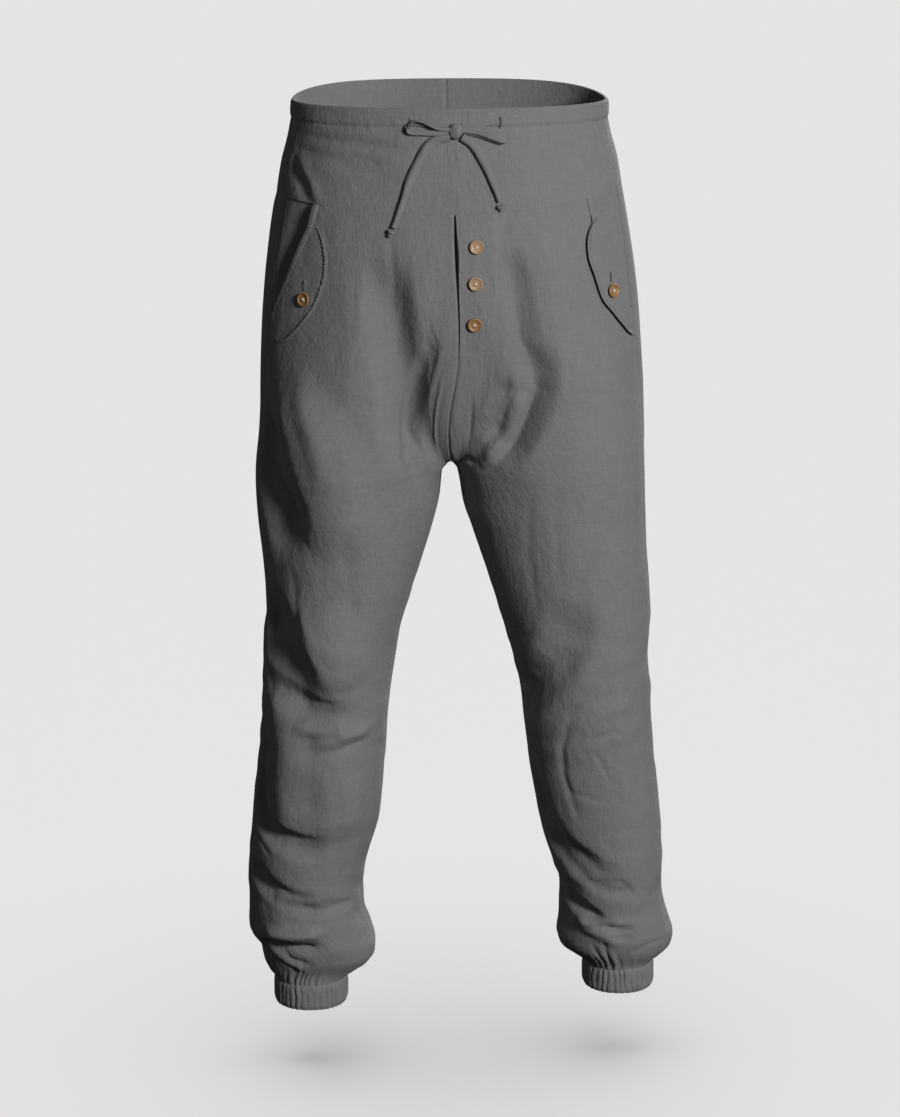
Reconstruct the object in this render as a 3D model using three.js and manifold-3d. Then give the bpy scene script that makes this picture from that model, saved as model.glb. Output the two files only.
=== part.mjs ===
// Harem pants: yoke waistband, buttoned fly, flap pockets, dropped crotch, gathered cuffs.
// Millimetres, +Z up. The origin is the middle of the waist opening, front towards -Y,
// the wearer's left towards +X. Names ending in _r are on the wearer's right.
//
// The cloth follows one surface. A place on it is a side, a height "down" the garment and a turn
// "around" it: 0 at the front middle or inseam, 1 at the side seam, 2 at the back middle or inseam.

import * as THREE from 'three';
import { mergeVertices } from 'three/addons/utils/BufferGeometryUtils.js';
import Module from 'manifold-3d';

const wasm = await Module();
wasm.setup();

const RIGHT = -1;
const LEFT = 1;

// Driving sizes.
const CLOTH = 1.6; // doubled seams and soft cotton, one panel
const BAND = 2.4; // waistband, two layers
const SEAM = 0.3; // space between two sewn pieces
const SEAM_TURN = 14; // degrees from the widest line forward to the side seam
const CROTCH = -398;
const PARTING = -190; // height where the torso ring starts to part into legs
const YOKE_FRONT = -111;
const YOKE_BACK = -104;
const BACK_RISE = 11; // the waist edge stands higher at the back
const TORSO_ROUND = 2.25; // 2 is an ellipse, more is squarer
const LEG_ROUND = 2.15;
const BUTTON_RADIUS = 7.7;
const BUTTON_HEIGHT = 2.8;
const TIE_WIDTH = 7;
const TIE_THICK = 2.6;

const table = (names, rows) =>
  rows.map((row) => Object.fromEntries(names.split(' ').map((name, i) => [name, row[i]])));

// Half widths from the middle: outer silhouette and inner leg edge.
const SECTIONS = {
  [RIGHT]: table('down outer inner', [
    [15, 171, 0],
    [-20, 173, 0],
    [-67, 184, 0],
    [-255, 209.5, 0],
    [-368, 212.5, 0],
    [-398, 216, 0],
    [-408, 217, 8.5],
    [-440, 216, 12.5],
    [-560, 206, 49.5],
    [-592, 209, 58],
    [-675, 211.5, 70],
    [-801, 224, 80],
    [-886, 229.5, 99.5],
    [-914, 229.5, 98.5],
    [-938, 229.4, 91],
    [-958, 217, 86],
    [-968, 215, 87],
    [-978, 212, 95],
    [-986, 207, 109],
    [-995, 200.5, 119.5],
    [-1040, 200.5, 119.5],
  ]),
  [LEFT]: table('down outer inner', [
    [15, 170, 0],
    [-20, 171.5, 0],
    [-67, 182.5, 0],
    [-222, 206.5, 0],
    [-368, 216, 0],
    [-398, 216, 0],
    [-408, 216.4, 7],
    [-448, 217, 14.6],
    [-476, 217.5, 24.3],
    [-576, 223.3, 56.8],
    [-618, 221.5, 69],
    [-660, 224.7, 78.7],
    [-702, 227.2, 83.3],
    [-831, 241, 105.4],
    [-874, 243, 119],
    [-896, 242.7, 126.6],
    [-940, 252, 126.4],
    [-958, 257, 124.3],
    [-968, 255, 127.5],
    [-978, 246, 142],
    [-988, 233, 154.3],
    [-1040, 233, 154.3],
  ]),
};

// Front and back of the same sections, before the lean of each leg.
const DEPTHS = table('down front back', [
  [15, -112, 112],
  [0, -112, 112],
  [-60, -119, 117],
  [-110, -126, 126],
  [-160, -130, 140],
  [-220, -130, 150],
  [-280, -128, 147],
  [-340, -124, 138],
  [-398, -120, 124],
  [-450, -114, 110],
  [-520, -107, 93],
  [-600, -100, 77],
  [-680, -93, 68],
  [-760, -82, 74],
  [-840, -72, 82],
  [-900, -66, 84],
  [-945, -64, 78],
  [-968, -58, 66],
  [-988, -48, 48],
  [-1040, -48, 48],
]);

// How each leg stands: lean of the ankle to the front (-) or back, yoke seam at the side, cuff.
const LEGS = {
  [RIGHT]: { lean: -12, yokeSide: -99.5, cuffTop: -995, cuffBottom: -1028 },
  [LEFT]: { lean: 8, yokeSide: -91, cuffTop: -988, cuffBottom: -1020 },
};

// Waistband wall: a share of the way to the yoke seam, less a drop, and how far it stands out.
const BAND_ROWS = table('share drop out', [
  [0, 0, 0.4],
  [0, 4, 1.6],
  [0, 15, 1.6],
  [0, 20, -0.3],
  [0, 25, 0.5],
  [0.6, 0, 0.3],
  [1, 0, 0],
]);

// Rows of the leg panels: the side seam's height at each break and the rows up to it.
const POCKET_END = -222;
const LEDGE = 1.2;
const THIGH_ROWS = 4; // yoke seam to just under the pocket
const CROTCH_ROW = 11;
const CALF_ROW = 22;
const LAST_ROW = 30;
const CALF = -860;
const COLUMNS = { front: 17, back: 12 };
const CROWD = 1.3; // how much the columns crowd towards the middle above the crotch

// Largest folds, on the garment's front or back: ridge height above 0, trough below 0.
const FOLDS = table('side half across1 down1 across2 down2 width height', [
  [RIGHT, 'front', 28, -232, 36, -395, 18, -9],
  [RIGHT, 'front', 36, -380, 22, -445, 14, -4],
  [RIGHT, 'front', 163, -290, 140, -405, 34, 5],
  [RIGHT, 'front', 211, -372, 156, -483, 16, -6],
  [RIGHT, 'front', 190, -520, 143, -640, 26, -8],
  [RIGHT, 'front', 172, -655, 122, -664, 12, 4],
  [RIGHT, 'front', 160, -704, 91, -685, 13, 4],
  [RIGHT, 'front', 205, -701, 192, -800, 18, -7],
  [RIGHT, 'front', 194, -800, 152, -812, 14, -6],
  [RIGHT, 'front', 208, -866, 156, -880, 11, -5],
  [RIGHT, 'front', 208, -884, 140, -892, 12, 4],
  [RIGHT, 'front', 174, -904, 112, -898, 9, -4],
  [RIGHT, 'front', 212, -936, 140, -930, 12, 6],
  [RIGHT, 'front', 208, -960, 148, -954, 9, -6],
  [LEFT, 'front', 99, -304, 44, -394, 22, -8],
  [LEFT, 'front', 70, -318, 30, -385, 22, 9],
  [LEFT, 'front', 150, -555, 124, -627, 24, -7],
  [LEFT, 'front', 124, -627, 92, -676, 18, -6],
  [LEFT, 'front', 133, -667, 121, -714, 12, -4],
  [LEFT, 'front', 121, -714, 138, -792, 12, -4],
  [LEFT, 'front', 98, -737, 118, -808, 16, -7],
  [LEFT, 'front', 114, -805, 178, -859, 14, -8],
  [LEFT, 'front', 120, -838, 170, -878, 14, 4],
  [LEFT, 'front', 130, -900, 174, -926, 12, -7],
  [LEFT, 'front', 150, -884, 206, -892, 10, -3],
  [LEFT, 'front', 140, -925, 196, -952, 13, 5],
  [RIGHT, 'back', 60, -300, 190, -330, 26, 5],
  [RIGHT, 'back', 40, -345, 180, -395, 18, -6],
  [RIGHT, 'back', 120, -600, 200, -660, 20, -6],
  [RIGHT, 'back', 110, -640, 195, -640, 16, 5],
  [RIGHT, 'back', 120, -720, 200, -690, 16, -5],
  [RIGHT, 'back', 130, -850, 210, -890, 14, -6],
  [RIGHT, 'back', 125, -915, 205, -925, 13, 6],
  [RIGHT, 'back', 130, -955, 200, -950, 9, -5],
  [LEFT, 'back', 50, -290, 185, -340, 24, 5],
  [LEFT, 'back', 45, -350, 190, -385, 18, -6],
  [LEFT, 'back', 110, -620, 205, -640, 18, -6],
  [LEFT, 'back', 120, -670, 205, -665, 16, 5],
  [LEFT, 'back', 125, -730, 215, -700, 15, -5],
  [LEFT, 'back', 150, -860, 225, -880, 14, -6],
  [LEFT, 'back', 150, -910, 235, -920, 13, 5],
  [LEFT, 'back', 155, -950, 230, -945, 9, -5],
]);

// Slanted pocket opening, and the flap's free edge with the height it folds from.
const POCKET_LINE = table('down around', [
  [-80, 0.785],
  [-104, 0.797],
  [-130, 0.812],
  [-175, 0.89],
  [-222, 0.972],
  [-230, 0.972],
]);
const WELT_WIDTH = 6.4;
const FLAP_GAP = 0.8;
const FLAP_EDGE = {
  [RIGHT]: table('across down fold', [
    [145, -129, -121],
    [140, -138, -130],
    [137, -148, -142],
    [135, -163, -160],
    [136, -178, -178],
    [141, -196, -196],
    [148, -213, -211],
    [160, -231, -225],
    [171, -245, -236],
    [180, -254, -243],
    [187, -257, -248],
  ]),
  [LEFT]: table('across down fold', [
    [145, -123, -115],
    [143, -133, -130],
    [141, -147, -147],
    [142, -160, -161],
    [149, -182, -181],
    [158, -208, -203],
    [169, -223, -216],
    [181, -239, -230],
    [189, -249, -240],
    [196, -254, -247],
  ]),
};
const FLAP_COLUMNS = table('share lifted', [
  [0, 0],
  [0.25, 0],
  [0.5, 0],
  [0.75, 0],
  [0.88, 0],
  [1, 1],
]);
const FLAP_LIFT = { [RIGHT]: 0.8, [LEFT]: 2.6 };

// Hip piece behind the opening: how far it runs under the front panel and how deep it lies there.
const HIP_ROWS = table('down under depth', [
  [-90, 12, 3.8],
  [-143, 12, 4.5],
  [-183, 12, 4.2],
  [-199, 5, 3.7],
  [-203, -2, 3.3],
  [-220.3, -1.2, 0.5],
]);

// Fly placket: its two edges at each height.
const FLY_ROWS = table('down edge width', [
  [-111.2, 1, 46],
  [-150, 1.6, 46],
  [-190, 2, 46],
  [-215, 2.6, 45],
  [-235, 3, 39],
  [-250, 3.4, 29],
  [-261, 3.8, 18],
  [-268, 4, 7],
]);

const BUTTONS = table('name side across down stand', [
  ['fly_button_1', LEFT, 22, -145, 2.6],
  ['fly_button_2', LEFT, 21, -184, 2.6],
  ['fly_button_3', LEFT, 20, -228, 2.6],
  ['pocket_button_r', RIGHT, 160, -206, 2.8],
  ['pocket_button_l', LEFT, 170, -200, 2.8],
]);

const FLUTES = 32;
const FLUTE_DEPTH = 0.9;
const CUFF_WALL = 2.2;
const GATHER_DEPTH = 1.6;
const GATHER_HEIGHT = 42;

// Drawstring, as places in front of the waistband: across, down and how far it stands off.
const KNOT = { across: 1, down: -24, off: 5.7, halfWide: 6.4, halfDeep: 4.8, halfTall: 8.6 };
const TIE_PATHS = {
  drawstring_loop_r: table('across down off', [
    [-5.8, -20, 7.6],
    [-22, -18, 8.2],
    [-38, -15.5, 8.4],
    [-47, -17, 7.4],
    [-49, -19, 6.2],
    [-46, -20.5, 5],
    [-36, -21, 4.4],
    [-20, -21.5, 4.3],
    [-5.8, -22, 4.3],
  ]),
  drawstring_loop_l: table('across down off', [
    [7.8, -20.5, 7.6],
    [22, -20, 8.2],
    [38, -21.5, 8.8],
    [48, -24, 8],
    [50.5, -27, 6.6],
    [47.5, -29.5, 5.2],
    [38, -28, 4.5],
    [22, -24.5, 4.3],
    [7.8, -22, 4.3],
  ]),
  drawstring_lead_r: table('across down off', [
    [-47, -15, 2.5],
    [-34, -16.5, 2.5],
    [-20, -18.5, 2.5],
    [-6, -20.5, 2.5],
  ]),
  drawstring_lead_l: table('across down off', [
    [47, -15, 2.5],
    [34, -16.5, 2.5],
    [20, -18.5, 2.5],
    [8, -20.5, 2.5],
  ]),
  drawstring_tail_r: table('across down off', [
    [-5.2, -30.6, 4.2],
    [-20, -33, 2.8],
    [-30.3, -42, 2.4],
    [-40.6, -60, 2.1],
    [-48.9, -78, 2],
    [-54.1, -94, 2],
    [-61.5, -115.5, 2.1],
    [-65.5, -125, 2.4],
  ]),
  drawstring_tail_l: table('across down off', [
    [7, -30.6, 4.2],
    [17.5, -38, 2.8],
    [27, -51.4, 2.4],
    [37.2, -73, 2.1],
    [44, -90, 2.1],
    [46.6, -98.5, 2.3],
  ]),
};
const END_KNOTS = table('name across down off', [
  ['drawstring_end_r', -67.6, -129.7, 3.2],
  ['drawstring_end_l', 47.6, -103.7, 3.2],
]);

// Colours of the real materials.
const cotton = new THREE.MeshStandardMaterial({ color: 0x747474, roughness: 0.95, metalness: 0 });
const tieCotton = new THREE.MeshStandardMaterial({ color: 0x6e6e6e, roughness: 0.95, metalness: 0 });
const wood = new THREE.MeshStandardMaterial({ color: 0x9a7f68, roughness: 0.6, metalness: 0 });

const clamp = (value, low, high) => Math.min(high, Math.max(low, value));
const mix = (a, b, t) => a + (b - a) * t;
const smooth = (t) => {
  const k = clamp(t, 0, 1);
  return k * k * (3 - 2 * k);
};
const radians = (degrees) => (degrees * Math.PI) / 180;

// A smooth curve through a table's rows that never overshoots them.
function curveOf(rows, key, value) {
  const xs = rows.map((row) => row[key]).reverse();
  const ys = rows.map((row) => row[value]).reverse();
  const steps = xs.slice(1).map((x, i) => x - xs[i]);
  const slopes = steps.map((step, i) => (ys[i + 1] - ys[i]) / step);
  const tangents = xs.map((x, i) => {
    if (i === 0) return slopes[0];
    if (i === xs.length - 1) return slopes[i - 1];
    const product = slopes[i - 1] * slopes[i];
    return product > 0 ? (2 * product) / (slopes[i - 1] + slopes[i]) : 0;
  });
  return (at) => {
    const x = clamp(at, xs[0], xs[xs.length - 1]);
    let i = 0;
    while (i < steps.length - 1 && x >= xs[i + 1]) i += 1;
    const t = (x - xs[i]) / steps[i];
    return (
      ys[i] * (1 + 2 * t) * (1 - t) ** 2 +
      tangents[i] * steps[i] * t * (1 - t) ** 2 +
      ys[i + 1] * t * t * (3 - 2 * t) +
      tangents[i + 1] * steps[i] * t * t * (t - 1)
    );
  };
}

// Straight lines through a table's rows.
function linesOf(rows, key, value) {
  return (at) => {
    const last = rows.length - 1;
    const sign = Math.sign(rows[last][key] - rows[0][key]);
    let i = 0;
    while (i < last - 1 && sign * at > sign * rows[i + 1][key]) i += 1;
    const t = clamp((at - rows[i][key]) / (rows[i + 1][key] - rows[i][key]), 0, 1);
    return mix(rows[i][value], rows[i + 1][value], t);
  };
}

const outerOf = {};
const innerOf = {};
for (const side of [RIGHT, LEFT]) {
  outerOf[side] = curveOf(SECTIONS[side], 'down', 'outer');
  innerOf[side] = curveOf(SECTIONS[side], 'down', 'inner');
}
const frontOf = curveOf(DEPTHS, 'down', 'front');
const backOf = curveOf(DEPTHS, 'down', 'back');

// Distance from the middle of a rounded ellipse to its edge.
const reach = (cos, sin, a, b, power) =>
  (Math.abs(cos / a) ** power + Math.abs(sin / b) ** power) ** (-1 / power);

// The smooth garment surface: a torso ring at the hips that parts into two leg rings.
function surface(side, around, down) {
  const outer = outerOf[side](down);
  const inner = innerOf[side](down);
  const front = frontOf(down);
  const back = backOf(down);
  const lean = LEGS[side].lean * smooth((CROTCH - down) / 600);
  const half = around < 1 ? around : around - 1;
  const torsoSeam = Math.PI / 2 - radians(SEAM_TURN);
  const legSeam = Math.PI - radians(SEAM_TURN);
  const torsoTurn = around < 1 ? half * torsoSeam : mix(torsoSeam, Math.PI, half);
  const legTurn = around < 1 ? half * legSeam : mix(legSeam, 2 * Math.PI, half);
  const depth = torsoTurn < Math.PI / 2 ? -front : back;
  const r = reach(Math.sin(torsoTurn), Math.cos(torsoTurn), outer, depth, TORSO_ROUND);
  const torsoX = r * Math.sin(torsoTurn);
  const torsoY = -r * Math.cos(torsoTurn);
  const wide = (outer - inner) / 2;
  const deep = (back - front) / 2;
  const q = reach(Math.cos(legTurn), Math.sin(legTurn), wide, deep, LEG_ROUND);
  const legX = (outer + inner) / 2 - q * Math.cos(legTurn);
  const legY = (front + back) / 2 - q * Math.sin(legTurn);
  const edge = around < 1 ? around : 2 - around;
  const share = clamp((PARTING - down) / (PARTING - CROTCH), 0, 1);
  const power = mix(0.3, 2, smooth(edge / 0.6));
  const leg = down <= CROTCH ? 1 : 1 - (1 - share * share) ** power;
  return new THREE.Vector3(
    side * mix(torsoX, legX, leg),
    mix(torsoY, legY, leg) + lean,
    down,
  );
}

// Direction straight out of the cloth.
function outward(side, around, down) {
  const turn = 0.004;
  const drop = 0.8;
  const a = surface(side, Math.max(0, around - turn), down);
  const b = surface(side, Math.min(2, around + turn), down);
  const high = down + drop;
  const low = down <= CROTCH ? down - drop : Math.max(down - drop, CROTCH + 0.01);
  const c = surface(side, around, down <= CROTCH ? Math.min(high, CROTCH) : high);
  const d = surface(side, around, low);
  const normal = b.sub(a).cross(c.sub(d)).multiplyScalar(side);
  return normal.normalize();
}

// Turn at which the front (or back) surface lies a given distance across.
function aroundAt(side, half, across, down) {
  let low = half === 'front' ? 0 : 2;
  let high = 1;
  for (let i = 0; i < 30; i += 1) {
    const middle = (low + high) / 2;
    if (side * surface(side, middle, down).x < across) low = middle;
    else high = middle;
  }
  return (low + high) / 2;
}

// Length of the front or back of one side at a height, from the middle to the side seam.
function halfLength(side, half, down) {
  let length = 0;
  let before = null;
  for (let i = 0; i <= 16; i += 1) {
    const at = surface(side, half === 'front' ? i / 16 : 1 + i / 16, down);
    if (before) length += at.distanceTo(before);
    before = at;
  }
  return length;
}

const folds = FOLDS.map((fold) => {
  const length = halfLength(fold.side, fold.half, (fold.down1 + fold.down2) / 2);
  return {
    ...fold,
    length,
    from: aroundAt(fold.side, fold.half, fold.across1, fold.down1) * length,
    to: aroundAt(fold.side, fold.half, fold.across2, fold.down2) * length,
  };
});

// How far the folds move the cloth in or out at one place.
function foldHeight(side, around, down) {
  const half = around <= 1 ? 'front' : 'back';
  const edge = around <= 1 ? around : 2 - around;
  let height = 0;
  for (const fold of folds) {
    if (fold.side !== side || fold.half !== half) continue;
    const dx = fold.to - fold.from;
    const dz = fold.down2 - fold.down1;
    const x = around * fold.length - fold.from;
    const z = down - fold.down1;
    const t = clamp((x * dx + z * dz) / (dx * dx + dz * dz), 0, 1);
    const away = Math.hypot(x - t * dx, z - t * dz) / fold.width;
    if (away >= 1) continue;
    const ends = 0.35 + 0.65 * smooth(Math.min(t, 1 - t) * 4);
    height += fold.height * ends * (1 - away * away) ** 2;
  }
  const middleFade = down > CROTCH - 40 ? smooth(edge / 0.06) : smooth(edge / 0.1);
  return height * middleFade * smooth((1 - edge) / 0.08);
}

// A point on the outside of the cloth, moved out along its own direction.
function outside(side, around, down, off = 0) {
  const at = surface(side, around, down);
  const out = foldHeight(side, around, down) + off;
  return at.addScaledVector(outward(side, around, down), out);
}

// Height of the yoke seam, and of the waist edge, at a turn.
function yokeDown(side, around) {
  const edge = around <= 1 ? around : 2 - around;
  const middle = around <= 1 ? YOKE_FRONT : YOKE_BACK;
  return mix(middle, LEGS[side].yokeSide, edge * edge);
}

function rimDown(side, around) {
  return BACK_RISE * smooth(surface(side, around, 0).y / 112);
}

// Row heights down the side seam, and down the middle seam, crotch and inseam.
function sideDown(side, row) {
  const { yokeSide, cuffTop } = LEGS[side];
  const rows = table('row down', [
    [0, yokeSide],
    [THIGH_ROWS - 1, POCKET_END],
    [THIGH_ROWS, POCKET_END - LEDGE],
    [CROTCH_ROW, CROTCH],
    [CALF_ROW, CALF],
    [LAST_ROW, cuffTop],
  ]);
  return linesOf(rows, 'row', 'down')(row);
}

const middlePaths = {};
for (const side of [RIGHT, LEFT]) {
  for (const half of ['front', 'back']) {
    const around = half === 'front' ? 0 : 2;
    const top = yokeDown(side, around);
    const steps = 600;
    const path = [{ length: 0, down: top }];
    let before = surface(side, around, top);
    for (let i = 1; i <= steps; i += 1) {
      // Steps close up towards the crotch, where the seam turns under.
      const down = mix(top, CROTCH, 1 - (1 - i / steps) ** 3);
      const at = surface(side, around, down);
      path.push({ length: path[i - 1].length + at.distanceTo(before), down });
      before = at;
    }
    middlePaths[side + half] = path;
  }
}

function middleDown(side, half, row) {
  if (row >= CROTCH_ROW) return sideDown(side, row);
  const first = sideDown(side, 0);
  const share = (first - sideDown(side, row)) / (first - CROTCH);
  const path = middlePaths[side + half];
  const length = share * path[path.length - 1].length;
  return linesOf(path, 'length', 'down')(length);
}

function rowDown(side, row, around) {
  const half = around <= 1 ? 'front' : 'back';
  const edge = around <= 1 ? around : 2 - around;
  return mix(middleDown(side, half, row), sideDown(side, row), edge * edge);
}

// A closed wall between an outer and an inner grid of points, both as rows of columns.
function wallGeometry(outer, inner, ring = false) {
  const rows = outer.length;
  const columns = outer[0].length;
  const positions = [];
  for (const grid of [outer, inner]) {
    for (const row of grid) {
      for (const point of row) positions.push(point.x, point.y, point.z);
    }
  }
  const out = (row, column) => row * columns + (column % columns);
  const inn = (row, column) => rows * columns + out(row, column);
  const index = [];
  const quad = (a, b, c, d) => index.push(a, b, c, a, c, d);
  const spans = ring ? columns : columns - 1;
  for (let r = 0; r < rows - 1; r += 1) {
    for (let c = 0; c < spans; c += 1) {
      quad(out(r, c), out(r + 1, c), out(r + 1, c + 1), out(r, c + 1));
      quad(inn(r, c), inn(r, c + 1), inn(r + 1, c + 1), inn(r + 1, c));
    }
  }
  for (let c = 0; c < spans; c += 1) {
    quad(out(0, c), out(0, c + 1), inn(0, c + 1), inn(0, c));
    quad(out(rows - 1, c), inn(rows - 1, c), inn(rows - 1, c + 1), out(rows - 1, c + 1));
  }
  if (!ring) {
    for (let r = 0; r < rows - 1; r += 1) {
      quad(out(r, 0), inn(r, 0), inn(r + 1, 0), out(r + 1, 0));
      quad(out(r, columns - 1), out(r + 1, columns - 1), inn(r + 1, columns - 1), inn(r, columns - 1));
    }
  }
  const geometry = new THREE.BufferGeometry();
  geometry.setAttribute('position', new THREE.Float32BufferAttribute(positions, 3));
  geometry.setIndex(index);
  if (volumeOf(geometry) < 0) {
    for (let i = 0; i < index.length; i += 3) [index[i + 1], index[i + 2]] = [index[i + 2], index[i + 1]];
    geometry.setIndex(index);
  }
  geometry.computeVertexNormals();
  return geometry;
}

function volumeOf(geometry) {
  const place = geometry.getAttribute('position');
  const index = geometry.getIndex();
  const [a, b, c] = [new THREE.Vector3(), new THREE.Vector3(), new THREE.Vector3()];
  let volume = 0;
  for (let i = 0; i < index.count; i += 3) {
    a.fromBufferAttribute(place, index.getX(i));
    b.fromBufferAttribute(place, index.getX(i + 1));
    c.fromBufferAttribute(place, index.getX(i + 2));
    volume += a.dot(b.cross(c)) / 6;
  }
  return volume;
}

// Draws both ends of each row in by half a seam, along the cloth.
function takeInSeams(outer, inner) {
  outer.forEach((row, r) => {
    const last = row.length - 1;
    for (const [end, next] of [[0, 1], [last, last - 1]]) {
      const shift = row[next].clone().sub(row[end]).setLength(SEAM / 2);
      row[end].add(shift);
      inner[r][end].add(shift);
    }
  });
}

// Keeps the pieces of one side on their own side of the middle.
function keepToSide(side, grid) {
  for (const row of grid) {
    for (const point of row) {
      if (side * point.x < SEAM / 2) point.x = (side * SEAM) / 2;
    }
  }
}

const pocketTurn = linesOf(POCKET_LINE, 'down', 'around');
const gatherShare = (side, down) => 1 - smooth((down - LEGS[side].cuffTop) / GATHER_HEIGHT);

function panel(side, half) {
  const columns = COLUMNS[half];
  const outer = [];
  const inner = [];
  for (let r = 0; r <= LAST_ROW; r += 1) {
    const outerRow = [];
    const innerRow = [];
    const pocket = half === 'front' && r < THIGH_ROWS;
    const widest = pocket ? pocketTurn(sideDown(side, r)) : 1;
    const crowd = mix(CROWD, 1, smooth((r - CROTCH_ROW) / 8));
    for (let c = 0; c <= columns; c += 1) {
      const share = half === 'front' ? (c / columns) ** crowd : 1 - (1 - c / columns) ** crowd;
      const around = half === 'front' ? share * widest : 1 + share;
      let down = rowDown(side, r, around);
      if (r === 0) down = yokeDown(side, around) - SEAM / 2;
      if (r === LAST_ROW) down = LEGS[side].cuffTop + SEAM / 2;
      const wave = c === 0 || c === columns ? 0 : Math.cos(Math.PI * c);
      const gather = GATHER_DEPTH * gatherShare(side, down) * wave;
      const normal = outward(side, around, down);
      const at = outside(side, around, down, gather);
      outerRow.push(at);
      innerRow.push(at.clone().addScaledVector(normal, -CLOTH));
      if (r === 0 || r === LAST_ROW) innerRow[c].z = at.z;
    }
    outer.push(outerRow);
    inner.push(innerRow);
  }
  takeInSeams(outer, inner);
  keepToSide(side, outer);
  keepToSide(side, inner);
  return wallGeometry(outer, inner);
}

// Heights of the hip piece follow the panel rows, so that its seam lines up with theirs.
function rowNear(side, down) {
  let row = 0;
  while (row < CROTCH_ROW && sideDown(side, row + 1) > down) row += 1;
  return row + (sideDown(side, row) - down) / (sideDown(side, row) - sideDown(side, row + 1));
}

function hipPiece(side) {
  const outer = [];
  const inner = [];
  HIP_ROWS.forEach(({ down, under, depth }, r) => {
    const height = r === 0 ? LEGS[side].yokeSide : down;
    const row = rowNear(side, height);
    const length = halfLength(side, 'front', height);
    const opening = pocketTurn(height);
    const from = opening - under / length;
    const outerRow = [];
    const innerRow = [];
    for (let c = 0; c <= 6; c += 1) {
      const around = mix(from, 1, c / 6);
      let at = rowDown(side, row, around);
      if (r === 0) at = yokeDown(side, around) - SEAM / 2;
      const sunk = depth * (1 - smooth((around - opening) / (1 - opening)));
      const normal = outward(side, around, at);
      const point = outside(side, around, at, -sunk);
      outerRow.push(point);
      innerRow.push(point.clone().addScaledVector(normal, -CLOTH));
      if (r === 0) innerRow[c].z = point.z;
    }
    outer.push(outerRow);
    inner.push(innerRow);
  });
  takeInSeams(outer, inner);
  return wallGeometry(outer, inner);
}

// A patch that lies on the cloth, from rows of places on the surface.
function patch(side, rows, thickness) {
  const outer = rows.map((row) => row.map((p) => outside(side, p.around, p.down, p.off + thickness)));
  const inner = rows.map((row) => row.map((p) => outside(side, p.around, p.down, p.off)));
  return wallGeometry(outer, inner);
}

function welt(side) {
  const top = yokeDown(side, 0.8) - 0.6;
  const rows = [];
  for (let i = 0; i <= 5; i += 1) {
    const down = mix(top, POCKET_END + 1, i / 5);
    const length = halfLength(side, 'front', down);
    const opening = pocketTurn(down);
    const around = [opening - WELT_WIDTH / length, opening - WELT_WIDTH / 2 / length, opening];
    rows.push(around.map((turn) => ({ around: turn, down, off: 0.5 })));
  }
  return patch(side, rows, 1.2);
}

function flap(side) {
  const rows = FLAP_EDGE[side].map(({ across, down, fold }) => {
    const free = aroundAt(side, 'front', across, down);
    const length = halfLength(side, 'front', fold);
    const hinge = pocketTurn(fold) - (WELT_WIDTH + FLAP_GAP) / length;
    return FLAP_COLUMNS.map(({ share, lifted }) => ({
      around: mix(hinge, free, share),
      down: mix(fold, down, share),
      off: 0.6 + lifted * FLAP_LIFT[side],
    }));
  });
  return patch(side, rows, CLOTH);
}

function flyPlacket() {
  const rows = FLY_ROWS.map(({ down, edge, width }, r) => {
    const cells = [];
    for (let c = 0; c <= 4; c += 1) {
      const across = mix(edge, edge + width, c / 4);
      const around = aroundAt(LEFT, 'front', across, down);
      const top = yokeDown(LEFT, around) - 0.6;
      cells.push({ around, down: r === 0 ? top : down, off: 0.5 });
    }
    return cells;
  });
  return patch(LEFT, rows, CLOTH);
}

function bandPiece(places) {
  const outer = [];
  const inner = [];
  const last = BAND_ROWS.length - 1;
  BAND_ROWS.forEach(({ share, drop, out }, r) => {
    const outerRow = [];
    const innerRow = [];
    for (const { side, around } of places) {
      const rim = rimDown(side, around);
      const seam = yokeDown(side, around) + SEAM / 2;
      const down = mix(rim, seam, share) - drop;
      const normal = outward(side, around, down);
      const at = surface(side, around, down).addScaledVector(normal, out);
      outerRow.push(at);
      innerRow.push(at.clone().addScaledVector(normal, -BAND - Math.max(out, 0)));
      if (r === 0 || r === last) innerRow[innerRow.length - 1].z = at.z;
    }
    outer.push(outerRow);
    inner.push(innerRow);
  });
  takeInSeams(outer, inner);
  return wallGeometry(outer, inner);
}

const spread = (side, from, to, steps) =>
  Array.from({ length: steps + 1 }, (_, i) => ({ side, around: mix(from, to, i / steps) }));

const frontPlaces = [...spread(RIGHT, 1, 0, 10), ...spread(LEFT, 0, 1, 10).slice(1)];

function cuff(side) {
  const { cuffTop, cuffBottom } = LEGS[side];
  const outer = [];
  const inner = [];
  const rows = table('share out', [
    [0, 0],
    [0.15, 1],
    [0.85, 1],
    [1, -0.3],
  ]);
  for (const { share, out } of rows) {
    const down = mix(cuffTop - SEAM / 2, cuffBottom, share);
    const outerRow = [];
    const innerRow = [];
    for (let i = 0; i < FLUTES * 2; i += 1) {
      const around = i / FLUTES;
      const flute = FLUTE_DEPTH * (i % 2 === 0 ? 1 : -1) * (share === 0 ? 0.4 : 1);
      const at = surface(side, around, down);
      const normal = outward(side, around, cuffBottom);
      outerRow.push(at.clone().addScaledVector(normal, out + flute));
      innerRow.push(at.clone().addScaledVector(normal, out + flute - CUFF_WALL));
    }
    outer.push(outerRow);
    inner.push(innerRow);
  }
  return wallGeometry(outer, inner, true);
}

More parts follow.
